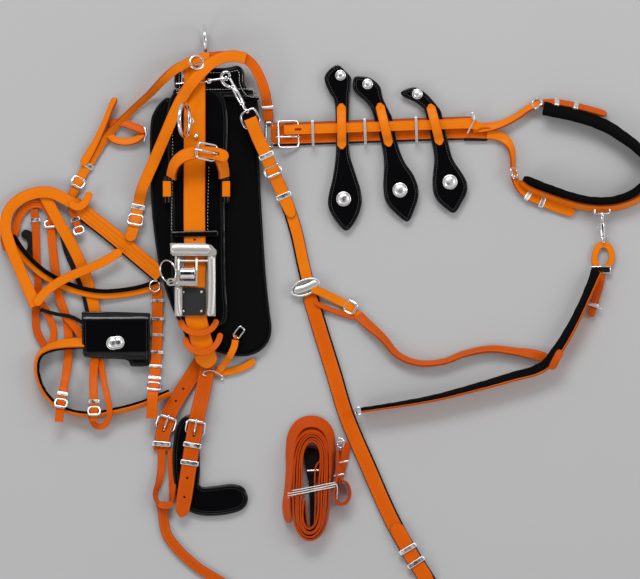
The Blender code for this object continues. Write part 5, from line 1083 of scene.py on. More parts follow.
def swollen(thing, loop):
    """Voxel remesh, then cloth with pressure: the rim is pinned and every point stays near its start."""
    remesh = thing.modifiers.new("remesh", "REMESH")
    remesh.mode = "VOXEL"
    remesh.voxel_size = PAD_VOXEL
    shaped_mesh(thing)
    start = places_of(thing)
    rim = [index for index, place in enumerate(start) if ((loop - place[:2]) ** 2).sum(1).min() < PAD_RIM ** 2]
    thing.vertex_groups.new(name="rim").add(rim, 1.0, "REPLACE")
    cloth = thing.modifiers.new("cloth", "CLOTH")
    cloth.settings.vertex_group_mass = "rim"
    cloth.settings.use_pressure = True
    cloth.settings.uniform_pressure_force = PAD_PRESSURE
    cloth.settings.effector_weights.gravity = 0
    cloth.settings.quality = 5
    cloth.settings.tension_stiffness = 12
    cloth.settings.bending_stiffness = 0.6
    cloth.point_cache.frame_start = 1
    cloth.point_cache.frame_end = SIM_FRAMES
    for step in range(1, SIM_FRAMES + 1):
        bpy.context.scene.frame_set(step)
    shaped_mesh(thing)
    bpy.context.scene.frame_set(1)
    move = places_of(thing) - start
    size = np.linalg.norm(move, axis=1, keepdims=True)
    now = start + move * np.minimum(1.0, SWELL_CAP / np.maximum(size, 1e-9))
    move_to(thing, now)
    return now


def cushion(name, table):
    rough = outline_of(table, 4.0 * MM)
    loop = inset(rough, PAD_INSET)
    thing = plate(name, loop, PAD_START, (PAD_TOP - PAD_START) / 2, PAD_BEVEL, 3, "felt")
    places = swollen(thing, loop)
    seam = inset(rough, SEAM_INSET)
    for place in places:
        if place[2] > PAD_TOP / 2:
            gap = np.sqrt(((seam - place[:2]) ** 2).sum(1).min())
            place[2] -= SEAM_DEPTH * math.exp(-(gap / SEAM_SPREAD) ** 2)
    places[:, 2] = np.clip(places[:, 2], 0.15 * MM, PAD_TOP - 0.1 * MM)
    move_to(thing, places)
    ease = thing.modifiers.new("ease", "SMOOTH")
    ease.factor = 0.5
    ease.iterations = 2
    finer = thing.modifiers.new("finer", "SUBSURF")
    finer.levels = finer.render_levels = 1
    shaped_mesh(thing)
    thing.data.shade_smooth()
    return thing


pad = ridden(cushion("saddle_pad_felt", PAD_OUTLINE), "harness", "black_felt", "saddle_pad")
Shape().bead(inset(outline_of(PAD_OUTLINE, 3.0 * MM), 3.4 * MM), PAD_TOP * 0.52, 2.0 * MM, "webbing").on(
    pad, "saddle_pad_binding", "black_felt")

# Saddle: patent skirt and tree, its staple, bracket and bar, and the strap over it
skirt = patent_piece("saddle_skirt", SKIRT_OUTLINE, PAD_TOP + SEAT, SKIRT_THICK, 1.8 * MM, 3.2 * MM)
saddle_path = Path(SADDLE_ROUTE, SADDLE_WIDTH)
loop_spot = Path(SADDLE_ROUTE, 56 * MM).spot(193.5, 235)
Shape().sleeve(loop_spot, -STRAP / 2 - SEAT, STRAP / 2 + FREE + LOOP_WALL, LOOP_WALL, LOOP_WALL, 7.0 * MM,
               LOOP_PROFILE, "patent").on(skirt, "saddle_skirt_loop", "black_patent")
tree_loop = outline_of(TREE_OUTLINE)
tree = ridden(plate("saddle_tree_patent", tree_loop, SKIRT_TOP, 0.0, 4.5 * MM, 6), "harness", "black_patent",
              "saddle_tree")
Shape().seam(inset(tree_loop, 6.5 * MM), SKIRT_TOP + SEAM_RISE, "white_thread").on(
    tree, "saddle_tree_stitches", "white_cord")
STAPLE_TOP = SKIRT_TOP + 9.0 * MM
staple = Shape().wire(eased([at(226.3, 79, SKIRT_TOP - MM), at(226.3, 79, STAPLE_TOP), at(209, 81.5, STAPLE_TOP),
                             at(209, 81.5, SKIRT_TOP - MM)], 3.0 * MM), WIRE)
for px, py in ((226.3, 79.0), (209.0, 81.5)):
    base = at(px, py, SKIRT_TOP - 0.2 * MM)
    staple.turned(base, base + UP * 1.6 * MM, ((0.0, 3.6), (0.5, 3.4), (1.0, 2.2)))
staple.on(tree, "saddle_tree_staple")
plate_on(tree, "chrome", "saddle_tree_bracket", ((181.8, 71.5), (187.6, 70.5), (187.6, 83), (181.8, 83)),
         2.2 * MM, SKIRT_TOP, 0.8 * MM, 3, "dull")
bar = Shape()
for left, right, rise in (((176.5, 84.3), (191, 83.6), 1.2 * MM), ((195, 83.2), (210, 82.2), 5.6 * MM)):
    bar.wire([at(*left, SKIRT_TOP + rise), at(*right, SKIRT_TOP + rise)], 1.1 * MM)
bar.on(tree, "saddle_tree_bar")
rows = Shape()
for px, low, high in ((172.6, 130, 236), (208.6, 168, 236)):
    ys = np.linspace(low, high, int((high - low) * PIXEL / (1.15 * STITCH_PITCH)))
    place = np.array([at(px + 0.6 * math.sin(y * 0.05), y, SKIRT_TOP + STITCH_SINK) for y in ys])
    ways = (np.tile(way, (len(ys), 1)) for way in ((0.0, -1.0, 0.0), (1.0, 0.0, 0.0), (0.0, 0.0, 1.0)))
    rows.threads(place, *ways, "white_thread", 0.85)
rows.on(skirt, "saddle_skirt_rows", "white_cord")
band_piece("saddle_strap", saddle_path, holes=((193, 240, HOLE),))

# Terrets and the check ring
TERRET_WIRE = 2.6 * MM
FLY_RADIUS = 17.0 * MM
FLY_RISE = FLY_RADIUS + TERRET_WIRE + SEAT
fly_terret = Shape().wire(ring(at(205.5, 40, FLY_RISE), (1.0, 0.06, 0.0), FLY_RADIUS, 72), TERRET_WIRE,
                          closed=True, sides=18).turned(
    at(205.5, 40 + FLY_RADIUS / PIXEL, FLY_RISE), at(205.5, 66.5, FLY_RISE),
    ((0.0, 2.4), (0.12, 4.2), (0.22, 4.2), (0.34, 2.9), (0.6, 2.9), (0.7, 4.8), (0.94, 4.8), (1.0, 4.0))).rides(
    "fly_terret_polished", "harness", "chrome", "fly_terret")
plate_on(fly_terret, "chrome", "fly_terret_foot", ((201, 65.2), (210, 65.2), (210, 68.2), (201, 68.2)),
         FLY_RISE + 3 * MM - LIFT, LIFT, 0.8 * MM, 3, "chrome")
SIDE_LEAN = math.radians(16)
SIDE_RADIUS = 21.5 * MM
side_way = Vector((-math.sin(SIDE_LEAN), 0.0, math.cos(SIDE_LEAN)))
side_foot = at(191, 121.5, DECKS[S] + LAYER)
side_start = side_foot + UP * 2.2 * MM
knob = at(196.6, 136.5, DECKS[S] + LAYER)
side = Shape()
side.turned(side_foot, side_start, ((0.0, 4.6), (0.25, 4.8), (0.6, 4.5), (0.8, 4.0), (1.0, 3.4)), "dull")
side.turned(knob, knob + UP * 6.0 * MM, ((0.0, 3.0), (0.1, 3.1), (0.2, 2.0), (0.35, 2.8), (0.55, 3.4),
                                         (0.75, 3.0), (0.9, 1.9), (1.0, 0.4)))
side.turned(side_start - side_way * MM, side_start + side_way * 4.6 * MM,
            ((0.0, 3.4), (0.2, 2.8), (0.5, 2.4), (0.8, 2.8), (1.0, 2.2)), "dull")
side.wire(ring(side_start + side_way * (SIDE_RADIUS + 4.0 * MM), side_way.cross(Vector((0, 1, 0))), SIDE_RADIUS,
               84), TERRET_WIRE, closed=True, sides=18)
side.rides("side_terret_polished", "harness", "chrome", "side_terret")
ring_piece("check_ring", at(197.5, 63.5, DECKS[S] + 2 * LAYER + 6 * MM), (0.3, 0.25, 1), 9.0 * MM, WIRE, "harness")

# Tug strap with its buckle
TUG_FOOT_PX = 178.0
TUG_BAR = (216.5, 154.6)
tug_path = Path(TUG_ROUTE, TUG_WIDTH)
chape_path = Path(CHAPE_ROUTE, TUG_WIDTH)
tug_bar = tug_path.spot(*TUG_BAR, True, 0.0, -LAYER)
tug_billet = band_piece("tug_billet", tug_path, start=tug_path.near(172, TUG_FOOT_PX),
                        holes=((*TUG_BAR, SLOT), (204, 153.5, HOLE)))
tug_chape = band_piece("tug_chape", chape_path, tips=NONE, end=chape_path.near(224.5, TUG_FOOT_PX),
                       holes=((*TUG_BAR, SLOT),))
Shape().buckle(tug_bar, TUG_FRAME, 2).on(tug_chape, "tug_buckle")
tongue_piece("tug_tongue", tug_bar, TUG_FRAME, 2)
for owner, left, right in ((tug_billet, 163.5, 171.5), (tug_chape, 222.6, 230.4)):
    plate_on(owner, "orange_strap", owner.name + "_block",
             ((left, 181.5), (right, 181.5), (right, 197), (left, 197)), 2.4 * LAYER - MM, DECKS[S] + MM, 1.2 * MM,
             4, "orange")
    mid = (left + right) / 2
    Shape().strap(Path(((mid, TUG_FOOT_PX - 1, S, 0.9), (mid, 186, S, 0.1), (mid, 203, S, 0.1)), 8 * MM), "patent",
                  NONE).on(owner, owner.name + "_foot", "black_patent")

# Quick hitch: the CAD plates keep their shape, with eased edges
for node, finish, ease in (("hitch_frame", "brushed", 0.5), ("hitch_lever", "brushed", 0.45),
                           ("hitch_latch", "brushed", 0.3), ("hitch_pad", "rubber", 0.8),
                           ("collar_ring", "brushed", 0.4)):
    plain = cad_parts[node]
    plain.data.materials.clear()
    plain.data.materials.append(LOOKS[finish])
    bevel = plain.modifiers.new("eased_edges", "BEVEL")
    bevel.width = ease * MM
    bevel.segments = 3
    bevel.limit_method = "ANGLE"
    bevel.angle_limit = math.radians(40)

oblong = []
for step in range(60):
    angle = math.radians(6 * step)
    long, short = 14.2 * math.cos(angle), 7.4 * math.sin(angle)
    oblong.append(at(305.3 + long * 0.93 + short * 0.36, 287.2 - long * 0.36 + short * 0.93, 9.2 * MM))
Shape().wire(oblong, WIRE, "dull", True, 14).metal_band(
    ((294, 291), (305, 288), (317.5, 282)), 9.0 * MM, 1.2 * MM, 10.4 * MM).on(
    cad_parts["collar_ring"], "collar_ring_band")

PIVOT_RISE = DECKS[H] + STRAP + 6.2 * MM
PIVOT_PX = 261.0
ROLLER = 8.6 * MM
ROLLER_HALF = ((0.0, 0.80), (0.02, 0.92), (0.06, 1.0), (0.14, 1.0), (0.2, 0.965), (0.35, 0.945))
ROLLER_PROFILE = (*ROLLER_HALF, (0.5, 0.94), *((1 - share, radius) for share, radius in reversed(ROLLER_HALF)))


def roller_axis(px):
    """A place on the axis of the roller, at a pixel x."""
    return at(px, PIVOT_PX, PIVOT_RISE) + Vector((0.0, -16.2 * MM, 3.6 * MM))


Shape().turned(roller_axis(180.8), roller_axis(196.0), ROLLER_PROFILE, size=ROLLER, steps=56).turned(
    roller_axis(178.7), roller_axis(198.1), ((0.0, 1.5), (0.02, 2.0), (0.98, 2.0), (1.0, 1.5)), "brushed",
    steps=28).rides("hitch_roller_polished", "roller", "chrome", "hitch_roller")
pull_hole, pull_centre = (at(px, py, PIVOT_RISE + 4.8 * MM) for px, py in ((172.0, 282.0), (169.0, 271.4)))
pull_way = (pull_centre - pull_hole).normalized()
ring_piece("hitch_ring", pull_centre, Matrix.Rotation(math.radians(-45), 3, pull_way) @ UP,
           (pull_centre - pull_hole).length, 1.1 * MM, "pull_ring")
plates = Shape()
for row, wide, crown, rise in (
    (((171.4, 249.4), (190, 249.4), (205, 249.6), (211.4, 249.9)), 11.6, 1.5, 40.0),
    (((212.2, 256.5), (212.6, 275), (212.4, 295), (211.2, 311), (210.2, 316)), 8.6, 1.7, 38.3),
    (((178.6, 287.5), (178.4, 300), (179.4, 311), (181.0, 316)), 6.8, 1.4, 38.3),
    (((176.6, 256.5), (176.6, 265.5)), 2.0, 0.5, 38.0),
):
    plates.metal_band(row, wide * MM, crown * MM, rise * MM)
plates.on(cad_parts["hitch_frame"], "hitch_frame_plates", "brushed_metal")
rivets = Shape()
for px, py in ((184, 292), (202, 292), (184, 311), (202, 311)):
    rivets.stud(at(px, py, DECKS[H] + STRAP + SEAT + 4.5 * MM), 1.5 * MM, 0.8 * MM, "brushed")
rivets.on(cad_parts["hitch_pad"], "hitch_pad_rivets", "brushed_metal")

# Leather collars below the hitch
for node, route in (("collar_upper", COLLAR_UPPER), ("collar_lower", COLLAR_LOWER)):
    band_piece(node, Path(route, CRESCENT_WIDTH), "deep", BOTH, stitch=False)

# Girth and its billets
FRONT_BAR = (164.3, 429)
REAR_BAR = (194.4, 433.5)
front_under = Path(FRONT_CHAPE, GIRTH_WIDTH)
rear_under = Path(REAR_CHAPE, GIRTH_WIDTH)
front_spot = front_under.spot(*FRONT_BAR, True)
rear_spot = rear_under.spot(*REAR_BAR, True)
band_piece("front_billet", Path(FRONT_ROUTE, GIRTH_WIDTH), "burnt",
           holes=((*FRONT_BAR, SLOT), (176, 401, HOLE), (183, 389.5, HOLE)))
front_chape = band_piece("front_chape", front_under, "burnt", NONE, end=front_under.near(161, 451),
                         holes=((*FRONT_BAR, SLOT),))
Shape().buckle(front_spot, FRONT_FRAME, 2).keeper(front_under.spot(161.3, 444), stack=2).on(
    front_chape, "front_buckle_and_keeper")
tongue_piece("front_tongue", front_spot, FRONT_FRAME, 2)
band_piece("rear_billet", Path(REAR_ROUTE, GIRTH_WIDTH), "burnt",
           holes=((*REAR_BAR, SLOT), (188, 478, HOLE), (184.5, 497, HOLE)))
girth = patent_piece("girth", GIRTH_OUTLINE, LIFT, 6.0 * MM, 2.2 * MM, 3.4 * MM)
rear_chape = Shape().strap(rear_under, "burnt", NONE).piece("rear_chape_webbing")
pierce(rear_chape, rear_under.spot(*REAR_BAR), *SLOT)
attach(rear_chape, girth)
Shape().buckle(rear_spot, FRONT_FRAME, REAR_STACK).keeper(rear_under.spot(192.4, 445), stack=REAR_STACK).keeper(
    rear_under.spot(189, 462.7), stack=REAR_STACK).on(girth, "rear_buckle_and_keepers")
tongue_piece("rear_tongue", rear_spot, FRONT_FRAME, REAR_STACK)
band_piece("tail_strap", Path(TAIL_ROUTE, TAIL_WIDTH), "burnt", NONE)
chape_ring = Shape()
for width, route in (
    (10, ((161.5, 447, 0.1), (161, 470, 0.1, 10), (158.5, 484, 0.1, 45), (155.2, 494, 0.1, 66), (157.5, 502, 0.1, 72),
          (164, 505.5, 0.1, 72), (171, 502.5, 0.1, 66), (172.5, 494, 0.1, 45), (172.5, 482, 0.1, 10),
          (171.5, 466, 0.1), (171, 448, 0.1))),
    (9, ((157.8, 503.5, 2.4), (165, 505.5, 2.9), (173.5, 503.5, 2.4))),
    (11, ((177, 462, 0.2), (175.5, 476, 0.4), (174, 490, 0.4), (172, 500, 0.5))),
):
    chape_ring.strap(Path(route, width * MM), "burnt")
chape_ring.on(front_chape, "front_chape_ring", "orange_strap")

# Dee and its thin strap
DEE_HALF = 4.2 * MM
DEE_WIRE = 1.1 * MM
dee_strap = band_piece("dee_strap", Path(DEE_ROUTE, DEE_WIDTH), tips=NONE, stitch=False, start=1.6 * MM)
Shape().strap(Path(TIP_ROUTE, DEE_WIDTH), tips=HEAD, groove=0.0).on(dee_strap, "dee_strap_tip", "orange_strap")
hook = [at(px, py, rise * MM) for px, py, rise in
        ((205.8, 375.8, 9.4), (203.4, 374.8, 9.4), (204.0, 372.0, 9.4), (208.0, 370.3, 9.5), (213.0, 370.8, 9.4),
         (218.0, 373.4, 8.4), (222.2, 376.4, 6.8), (223.4, 378.6, 4.0), (221.4, 379.2, 2.6))]
Shape().wire(flowing(hook, False), DEE_WIRE).on(dee_strap, "dee_strap_wire")
dee_near, dee_far = (at(px, py, DECKS[P] + 2.7 * MM) for px, py in ((235.6, 337.0), (242.6, 327.6)))
dee_way = (dee_far - dee_near).normalized()
dee_side = Vector((-dee_way.y, dee_way.x, 0.0))
corners = [place + dee_side * half for place, half in ((dee_near, DEE_HALF), (dee_far, DEE_HALF),
                                                       (dee_far, -DEE_HALF), (dee_near, -DEE_HALF))]
Shape().wire(eased(corners, 3.0 * MM, True), DEE_WIRE, closed=True).rides("dee_ring_polished", "dee", "chrome",
                                                                          "dee_ring")
Shape().turned(dee_near - dee_side * 2.0 * MM, dee_near + dee_side * 2.0 * MM,
               ((0.0, 2.2), (0.1, 2.7), (0.9, 2.7), (1.0, 2.2)), "orange_edge").on(
    dee_strap, "dee_strap_eye", "orange_strap")

# Snap hooks
BARREL = 4.0 * MM
SNAP_LENGTH = 58.0 * MM
BARREL_PROFILE = ((0.0, 3.0), (0.02, 3.6), (0.06, 4.0), (0.12, 4.0), (0.14, 3.6), (0.17, 3.6), (0.19, 4.0),
                  (0.8, 4.0), (0.83, 3.6), (0.86, 3.6), (0.88, 4.0), (0.96, 4.0), (0.99, 3.6), (1.0, 3.0))
HOOK_PATH = ((22.0, 3.2), (16.0, 7.6), (8.5, 9.0), (2.2, 5.8), (0.8, 0.6), (3.6, -3.2), (8.0, -3.0))
BOLT_SIDE = -1.5


def snap_piece(name, head, tail, side, up):
    """A snap: turned barrel with rings, bent hook, shank, and its sprung bolt with a thumb knob."""
    way = (tail - head).normalized()
    scale = (tail - head).length / SNAP_LENGTH

    def spot(along, aside=0.0, above=0.0):
        return head + way * (along * MM * scale) + side * (aside * MM) + up * (above * MM)

    line = flowing([spot(along, aside) for along, aside in HOOK_PATH], False, 0.8 * MM)
    radii = [2.3 * MM - 0.55 * MM * (index / len(line)) ** 2 for index in range(len(line))]
    snap = Shape().turned(spot(20), spot(50), BARREL_PROFILE).turned(
        spot(49), spot(58), ((0.0, 2.6), (0.3, 1.9), (1.0, 1.9))).wire(line, radii, sides=14).rides(
        name + "_polished", "harness", "chrome", name)
    Shape().turned(spot(10.8, BOLT_SIDE), spot(41, BOLT_SIDE), ((0.0, 1.0), (0.04, 1.6), (1.0, 1.6)), "brushed",
                   steps=24).turned(
        spot(31, BOLT_SIDE), spot(31, BOLT_SIDE, 6.4),
        ((0.0, 0.55), (0.7, 0.55), (0.78, 1.7), (0.94, 1.7), (1.0, 1.2)), "brushed", steps=24).rides(
        name + "_bolt_polished", name.replace("snap", "bolt"), "brushed_metal", name + "_bolt")
    return snap


SNAP_RISE = SKIRT_TOP + BARREL + SEAT + 0.6 * MM
collar_head, collar_tail = at(225.2, 72.2, SNAP_RISE), at(246.0, 111.0, SNAP_RISE)
snap_way = (collar_tail - collar_head).normalized()
collar_snap = snap_piece("collar_snap", collar_head, collar_tail, Vector((snap_way.y, -snap_way.x, 0.0)), UP)
swivel = [at(px, py, SNAP_RISE) for px, py in SWIVEL_PX]
Shape().wire(flowing(swivel), WIRE, closed=True, sides=14).rides("collar_swivel_polished", "harness", "chrome",
                                                                 "collar_swivel")
bar_half = (swivel[1] - swivel[0]).normalized() * 2.2 * MM
bar_mid = at(247.2, 111.8, SNAP_RISE)
Shape().turned(bar_mid - bar_half, bar_mid + bar_half, ((0.0, 3.0), (0.15, 3.9), (0.85, 3.9), (1.0, 3.0))).on(
    collar_snap, "collar_snap_eye")

# Front strap from the saddle to the chest, and the breast strap with its lap
billet_path = Path(BILLET_ROUTE, COLLAR_WIDTH)
collar_billet = band_piece("collar_billet", billet_path)
Shape().keeper(billet_path.spot(269.5, 155), 6.5 * MM).buckle(billet_path.spot(273, 165), 12.0 * MM).keeper(
    billet_path.spot(283, 195.5), 6.5 * MM).on(collar_billet, "collar_billet_metal")
band_piece("collar_strap", Path(COLLAR_ROUTE, COLLAR_WIDTH), "backed", NONE, shift=-0.8 * MM)
breast_path = Path(BREAST_ROUTE, BREAST_WIDTH)
lap_path = Path(LAP_ROUTE, BREAST_WIDTH)
breast = band_piece("breast_strap", breast_path, "backed_painted_half_shade", HEAD, shift=0.8 * MM)
Shape().strap(lap_path, "deep", trim=MM).on(breast, "breast_lap", "orange_strap")
Shape().stitched(lap_path, BREAST_WIDTH / 2 - 3 * MM, 8 * MM).on(breast, "breast_lap_stitches", "orange_strap")
Shape().keeper(breast_path.spot(408, 549), stack=2).keeper(breast_path.spot(416, 563), stack=2).on(
    breast, "breast_keepers", "brushed_metal")

# Side strap with its link
link_path = Path(LINK_ROUTE, LINK_WIDTH)
side_strap = band_piece("side_strap", Path(SIDE_ROUTE, SIDE_WIDTH), "burnt", HEAD)
Shape().strap(link_path, groove=0.0).strap(
    Path(((315, 303, 0.2, 20), (330, 309.5, 0.2, 20), (355, 318, 0.2, 10)), 7 * MM), "burnt").strap(
    Path(((560.5, 350, 5.4, 20), (556, 358, 6.9, 10), (550.5, 369, 5.4, 20)), 10 * MM), "burnt").on(
    side_strap, "side_link", "orange_strap")
Shape().buckle(link_path.spot(346, 304), 14.0 * MM).on(side_strap, "side_link_buckle")

# Breeching with its ring and hanger
breeching = band_piece("breeching_strap", Path(BREECH_ROUTE, BREECH_WIDTH, LINING), "lined", NONE,
                       "breeching_padded", reveal=1.6 * MM, crease=0.25 * MM)
Shape().wire(ring(at(359, 411, LIFT + 3.6 * LAYER), (0, 0, 1), 4.6 * MM, 40), 1.4 * MM, closed=True).on(
    breeching, "breeching_end_ring")
Shape().strap(Path(HANGER_ROUTE, HANGER_WIDTH), tips=NONE, groove=0.0).on(
    breeching, "breeching_hanger", "orange_strap")
runner_path = Path(((603.5, 268, 0.4), (600.5, 284, 0.4), (595.5, 301, 0.5), (591, 317, 0.6)), 9 * MM)
Shape().strap(runner_path, "burnt").on(breeching, "breeching_runner", "orange_strap")
Shape().keeper(runner_path.spot(594.5, 305), 4.0 * MM).wire(
    [at(585.5, 303, LIFT + 8 * MM), at(601, 308.5, LIFT + 7 * MM)], 1.3 * MM).on(
    breeching, "breeching_runner_keeper")
plate_on(breeching, "chrome", "breeching_hanger_bar", ((590.5, 266), (611, 266), (611, 273.5), (590.5, 273.5)),
         2 * LAYER, LIFT + 0.4 * MM, 1.6 * MM, 4, "chrome")

# Crupper dock, its outer strap, staple and snap
STAPLE_PY = 213.7
STAPLE_UP = 11.0 * MM
dock = band_piece("crupper_dock", Path(DOCK_ROUTE, DOCK_WIDTH, DOCK_THICK), "felt", name="crupper_dock_felt",
                  crease=0.3 * MM)
outer = band_piece("crupper_strap", Path(OUTER_ROUTE, OUTER_WIDTH), tips=BOTH)
Shape().wire(eased([at(594.5, 206.5, STAPLE_UP), at(594.5, STAPLE_PY, STAPLE_UP), at(609.5, STAPLE_PY, STAPLE_UP),
                    at(609.5, 206.3, STAPLE_UP)], 2.6 * MM), 1.2 * MM).on(outer, "crupper_staple")
crupper_head, crupper_tail = at(601.5, 210.2, 8.4 * MM), at(603.5, 242.5, 8.4 * MM)
snap_piece("crupper_snap", crupper_head, crupper_tail, UP, (crupper_tail - crupper_head).normalized().cross(UP))

# Crupper fork
upper_path = Path(UPPER_FORK, FORK_WIDTH)
lower_path = Path(LOWER_FORK, FORK_WIDTH)
fork = band_piece("crupper_fork", upper_path, tips=NONE, end=upper_path.near(541, 103))
Shape().strap(upper_path, "burnt", TAIL, "burnt", upper_path.near(540, 103)).on(
    fork, "crupper_fork_tip", "orange_strap")
for part, outline, thick, bottom, finish in (
    ("root", ((448, 128.6), (480, 128.0), (489, 127.4), (497, 129.6), (497, 140.0), (488, 138.8), (478, 138.2),
              (448, 138.2)), 2.4 * MM, LIFT + 0.8 * MM, "deep"),
    ("over", ((452, 119.0), (462, 118.4), (470, 118.2), (476.5, 120.4), (483, 124.6), (490.5, 126.4),
              (490.5, 128.0), (482, 127.8), (476.5, 130.0), (470, 128.6), (452, 128.8)), 3.0 * MM,
     LIFT + BILLET_LAYER * LAYER - 0.25 * MM, "orange"),
    ("lining", ((464, 137.0), (486, 138.2), (488.4, 139.6), (486.6, 140.9), (464, 140.6)), 3.0 * MM,
     LIFT + 0.2 * MM, "webbing"),
):
    plate_on(fork, "black_felt" if finish == "webbing" else "orange_strap", "crupper_fork_" + part, outline, thick,
             bottom, 0.7 * MM, 3, finish)
Shape().strap(lower_path, tips=TAIL, groove=0.0).on(fork, "crupper_fork_lower", "orange_strap")
root_top = LIFT + BILLET_LAYER * LAYER + STRAP + 1.5 * MM
metal = Shape().buckle(upper_path.spot(533, 106), FORK_FRAME).buckle(lower_path.spot(513, 168), FORK_FRAME)
for path, px, py in ((lower_path, 528, 195.5), (lower_path, 542, 203), (upper_path, 557, 102),
                     (upper_path, 576, 106)):
    metal.keeper(path.spot(px, py))
metal.wire(eased([at(471.8, 112.4, 5 * MM), at(471.8, 112.4, root_top), at(474.6, 120, root_top),
                  at(467.6, 132.6, root_top - 4 * MM)], 2.0 * MM), 1.3 * MM)
metal.wire([at(472.2, 113.2, root_top + 0.5 * MM), at(474.2, 119.4, root_top + 0.5 * MM)], 2.0 * MM, "dull")
metal.on(fork, "crupper_fork_metal")

# Back strap with its billet, keepers and dee
BACK_ASIDE = 4.0 * MM
DEE_LEVEL = LIFT + STRAP / 2
back_path = Path(BACK_ROUTE, BACK_WIDTH)
back = band_piece("back_strap", back_path, "backed_painted_half_shade", NONE, shift=-0.9 * MM, end=back_path.near(470, 127.8))
band_piece("back_billet", Path(BACK_BILLET_ROUTE, BILLET_WIDTH), holes=((299.0, 129.6, SLOT),))
Shape().buckle(back_path.spot(299, 133.2, True), BACK_FRAME, BACK_STACK).on(back, "back_buckle")
metal = Shape()
for px in (313.3, 364.0, 416.5):
    metal.keeper(back_path.spot(px, 130), 3.6 * MM, BACK_STACK, "brushed")
metal.on(back, "back_keepers")
tongue_piece("back_tongue", back_path.spot(299, 133.2, True, -BACK_ASIDE), BACK_FRAME, BACK_STACK)
corners = [at(px, py, DEE_LEVEL) for px, py in ((265.6, 122.2), (272.4, 122.2), (272.4, 147), (265.6, 147))]
Shape().wire(eased(corners, 5.0 * MM, True), WIRE, closed=True, sides=14).on(back, "back_dee")

# Patent drops
DROP_THICK = 4.0 * MM
DROP_FACE = LIFT + LAYER + DROP_THICK
OVER = 3.6
ON_DROP = 2.02
STUD_SINK = 0.1 * MM
STUD_HEIGHT = 5.0 * MM


def drop_piece(name, outline, tab_top, tab_foot, billet_y, stud_px, knot_px):
    """A patent drop with the tab that holds it to the back strap, and its two studs."""
    face = patent_piece(name, outline, LIFT + LAYER, DROP_THICK, 1.2 * MM, 3.0 * MM, "grey_thread", name)
    marks = []
    for y, layer in ((tab_top[1], ON_DROP), (billet_y - 15.0, ON_DROP), (billet_y - 8.0, OVER),
                     (billet_y + 8.0, OVER), (billet_y + 15.0, ON_DROP), (tab_foot[1], ON_DROP)):
        share = (y - tab_top[1]) / (tab_foot[1] - tab_top[1])
        marks.append((tab_top[0] + (tab_foot[0] - tab_top[0]) * share, y, layer))
    path = Path(marks, TAB_WIDTH)
    Shape().strap(path, tips=("point", "point")).on(face, name + "_tab", "orange_strap")
    Shape().stitched(path, TAB_WIDTH / 2 - STITCH_INSET, 6 * MM).on(face, name + "_tab_stitches", "orange_strap")
    Shape().stud(at(*stud_px, DROP_FACE - STUD_SINK), 9.4 * MM, STUD_HEIGHT).stud(
        at(*knot_px, DROP_FACE - STUD_SINK), 6.6 * MM, STUD_HEIGHT).on(face, name + "_studs")


drop_piece("drop_front", DROP_FRONT, (341.3, 103.5), (341.8, 149), 128, (343.6, 198.9), (340.5, 75.2))
drop_piece("drop_middle", DROP_MIDDLE, (379.2, 103), (389.4, 146.5), 126.5, (400, 190), (367.6, 84))
drop_piece("drop_rear", DROP_REAR, (430, 104), (440.3, 145), 124.7, (450, 182), (417.3, 94))

# Neck strap and overcheck straps
neck_path = Path(NECK_ROUTE, SIDE_WIDTH)
neck = band_piece("neck_strap", neck_path, "deep", NONE)
Shape().keeper(neck_path.spot(267, 107), 4.0 * MM).on(neck, "neck_strap_keeper")
over_front_path = Path(OVER_FRONT_ROUTE, NARROW_WIDTH)
over_front = band_piece("overcheck_front", over_front_path)
Shape().strap(Path(((82, 165, 1.2), (89, 154, 1.2, 15), (97, 140, 0.9, 38), (105, 122, 0.4, 48), (111, 107, 0.3, 48),
                    (115.5, 97.5, 0.3, 40)), 11 * MM)).strap(
    Path(((108, 125, 0.25), (120, 122, 0.25, 15), (132, 126, 0.25, 25), (146, 131.5, 0.25, 30)), 11 * MM),
    "deep").strap(
    Path(((107, 133, 0.1, 30), (114, 139.5, 0.1, 25), (126, 141.5, 0.1, 20), (136, 139.5, 0.1, 30),
          (144, 134, 0.1, 40)), 10 * MM)).on(over_front, "overcheck_loop", "orange_strap")
Shape().keeper(over_front_path.spot(87.5, 165)).buckle(over_front_path.spot(80, 178), FORK_FRAME).wire(
    [at(144.5, 127.5, 9 * MM), at(146.5, 134, 11 * MM), at(144.5, 140.5, 9 * MM)], 1.6 * MM, "dull").on(
    over_front, "overcheck_front_metal")
over_rear_path = Path(OVER_REAR_ROUTE, CHEEK_WIDTH)
over_rear = band_piece("overcheck_rear", over_rear_path)
Shape().keeper(over_rear_path.spot(138, 207)).buckle(over_rear_path.spot(136.6, 215), 14.0 * MM).on(
    over_rear, "overcheck_rear_metal")

# Bridle
crown = band_piece("crown_strap", Path(CROWN_ROUTE, CHEEK_WIDTH))
cross_path = Path(CROSS_ROUTE, NARROW_WIDTH)
Shape().strap(cross_path).strap(
    Path(((70, 203, 3.45), (78.5, 207, 3.45), (84.5, 203.5, 3.45), (90.5, 192, 3.0)), 10 * MM)).on(
    crown, "crown_cross_strap", "orange_strap")
Shape().stitched(cross_path, NARROW_WIDTH / 2 - STITCH_INSET, 6 * MM).on(
    crown, "crown_cross_stitches", "orange_strap")
throat_path = Path(((69, 203, 1.2), (73, 213, 1.2), (76.5, 223, 1.2), (80, 235, 1.0)), 9 * MM)
Shape().strap(throat_path, "burnt").strap(
    Path(((3.6, 229, 1.2), (3.4, 240, 1.2), (6.4, 251, 1.2)), 8 * MM), "deep").on(
    crown, "crown_inner_straps", "orange_strap")
Shape().keeper(throat_path.spot(75, 219.5), 5.0 * MM).buckle(throat_path.spot(77.5, 227), 9.0 * MM).on(
    crown, "crown_metal")

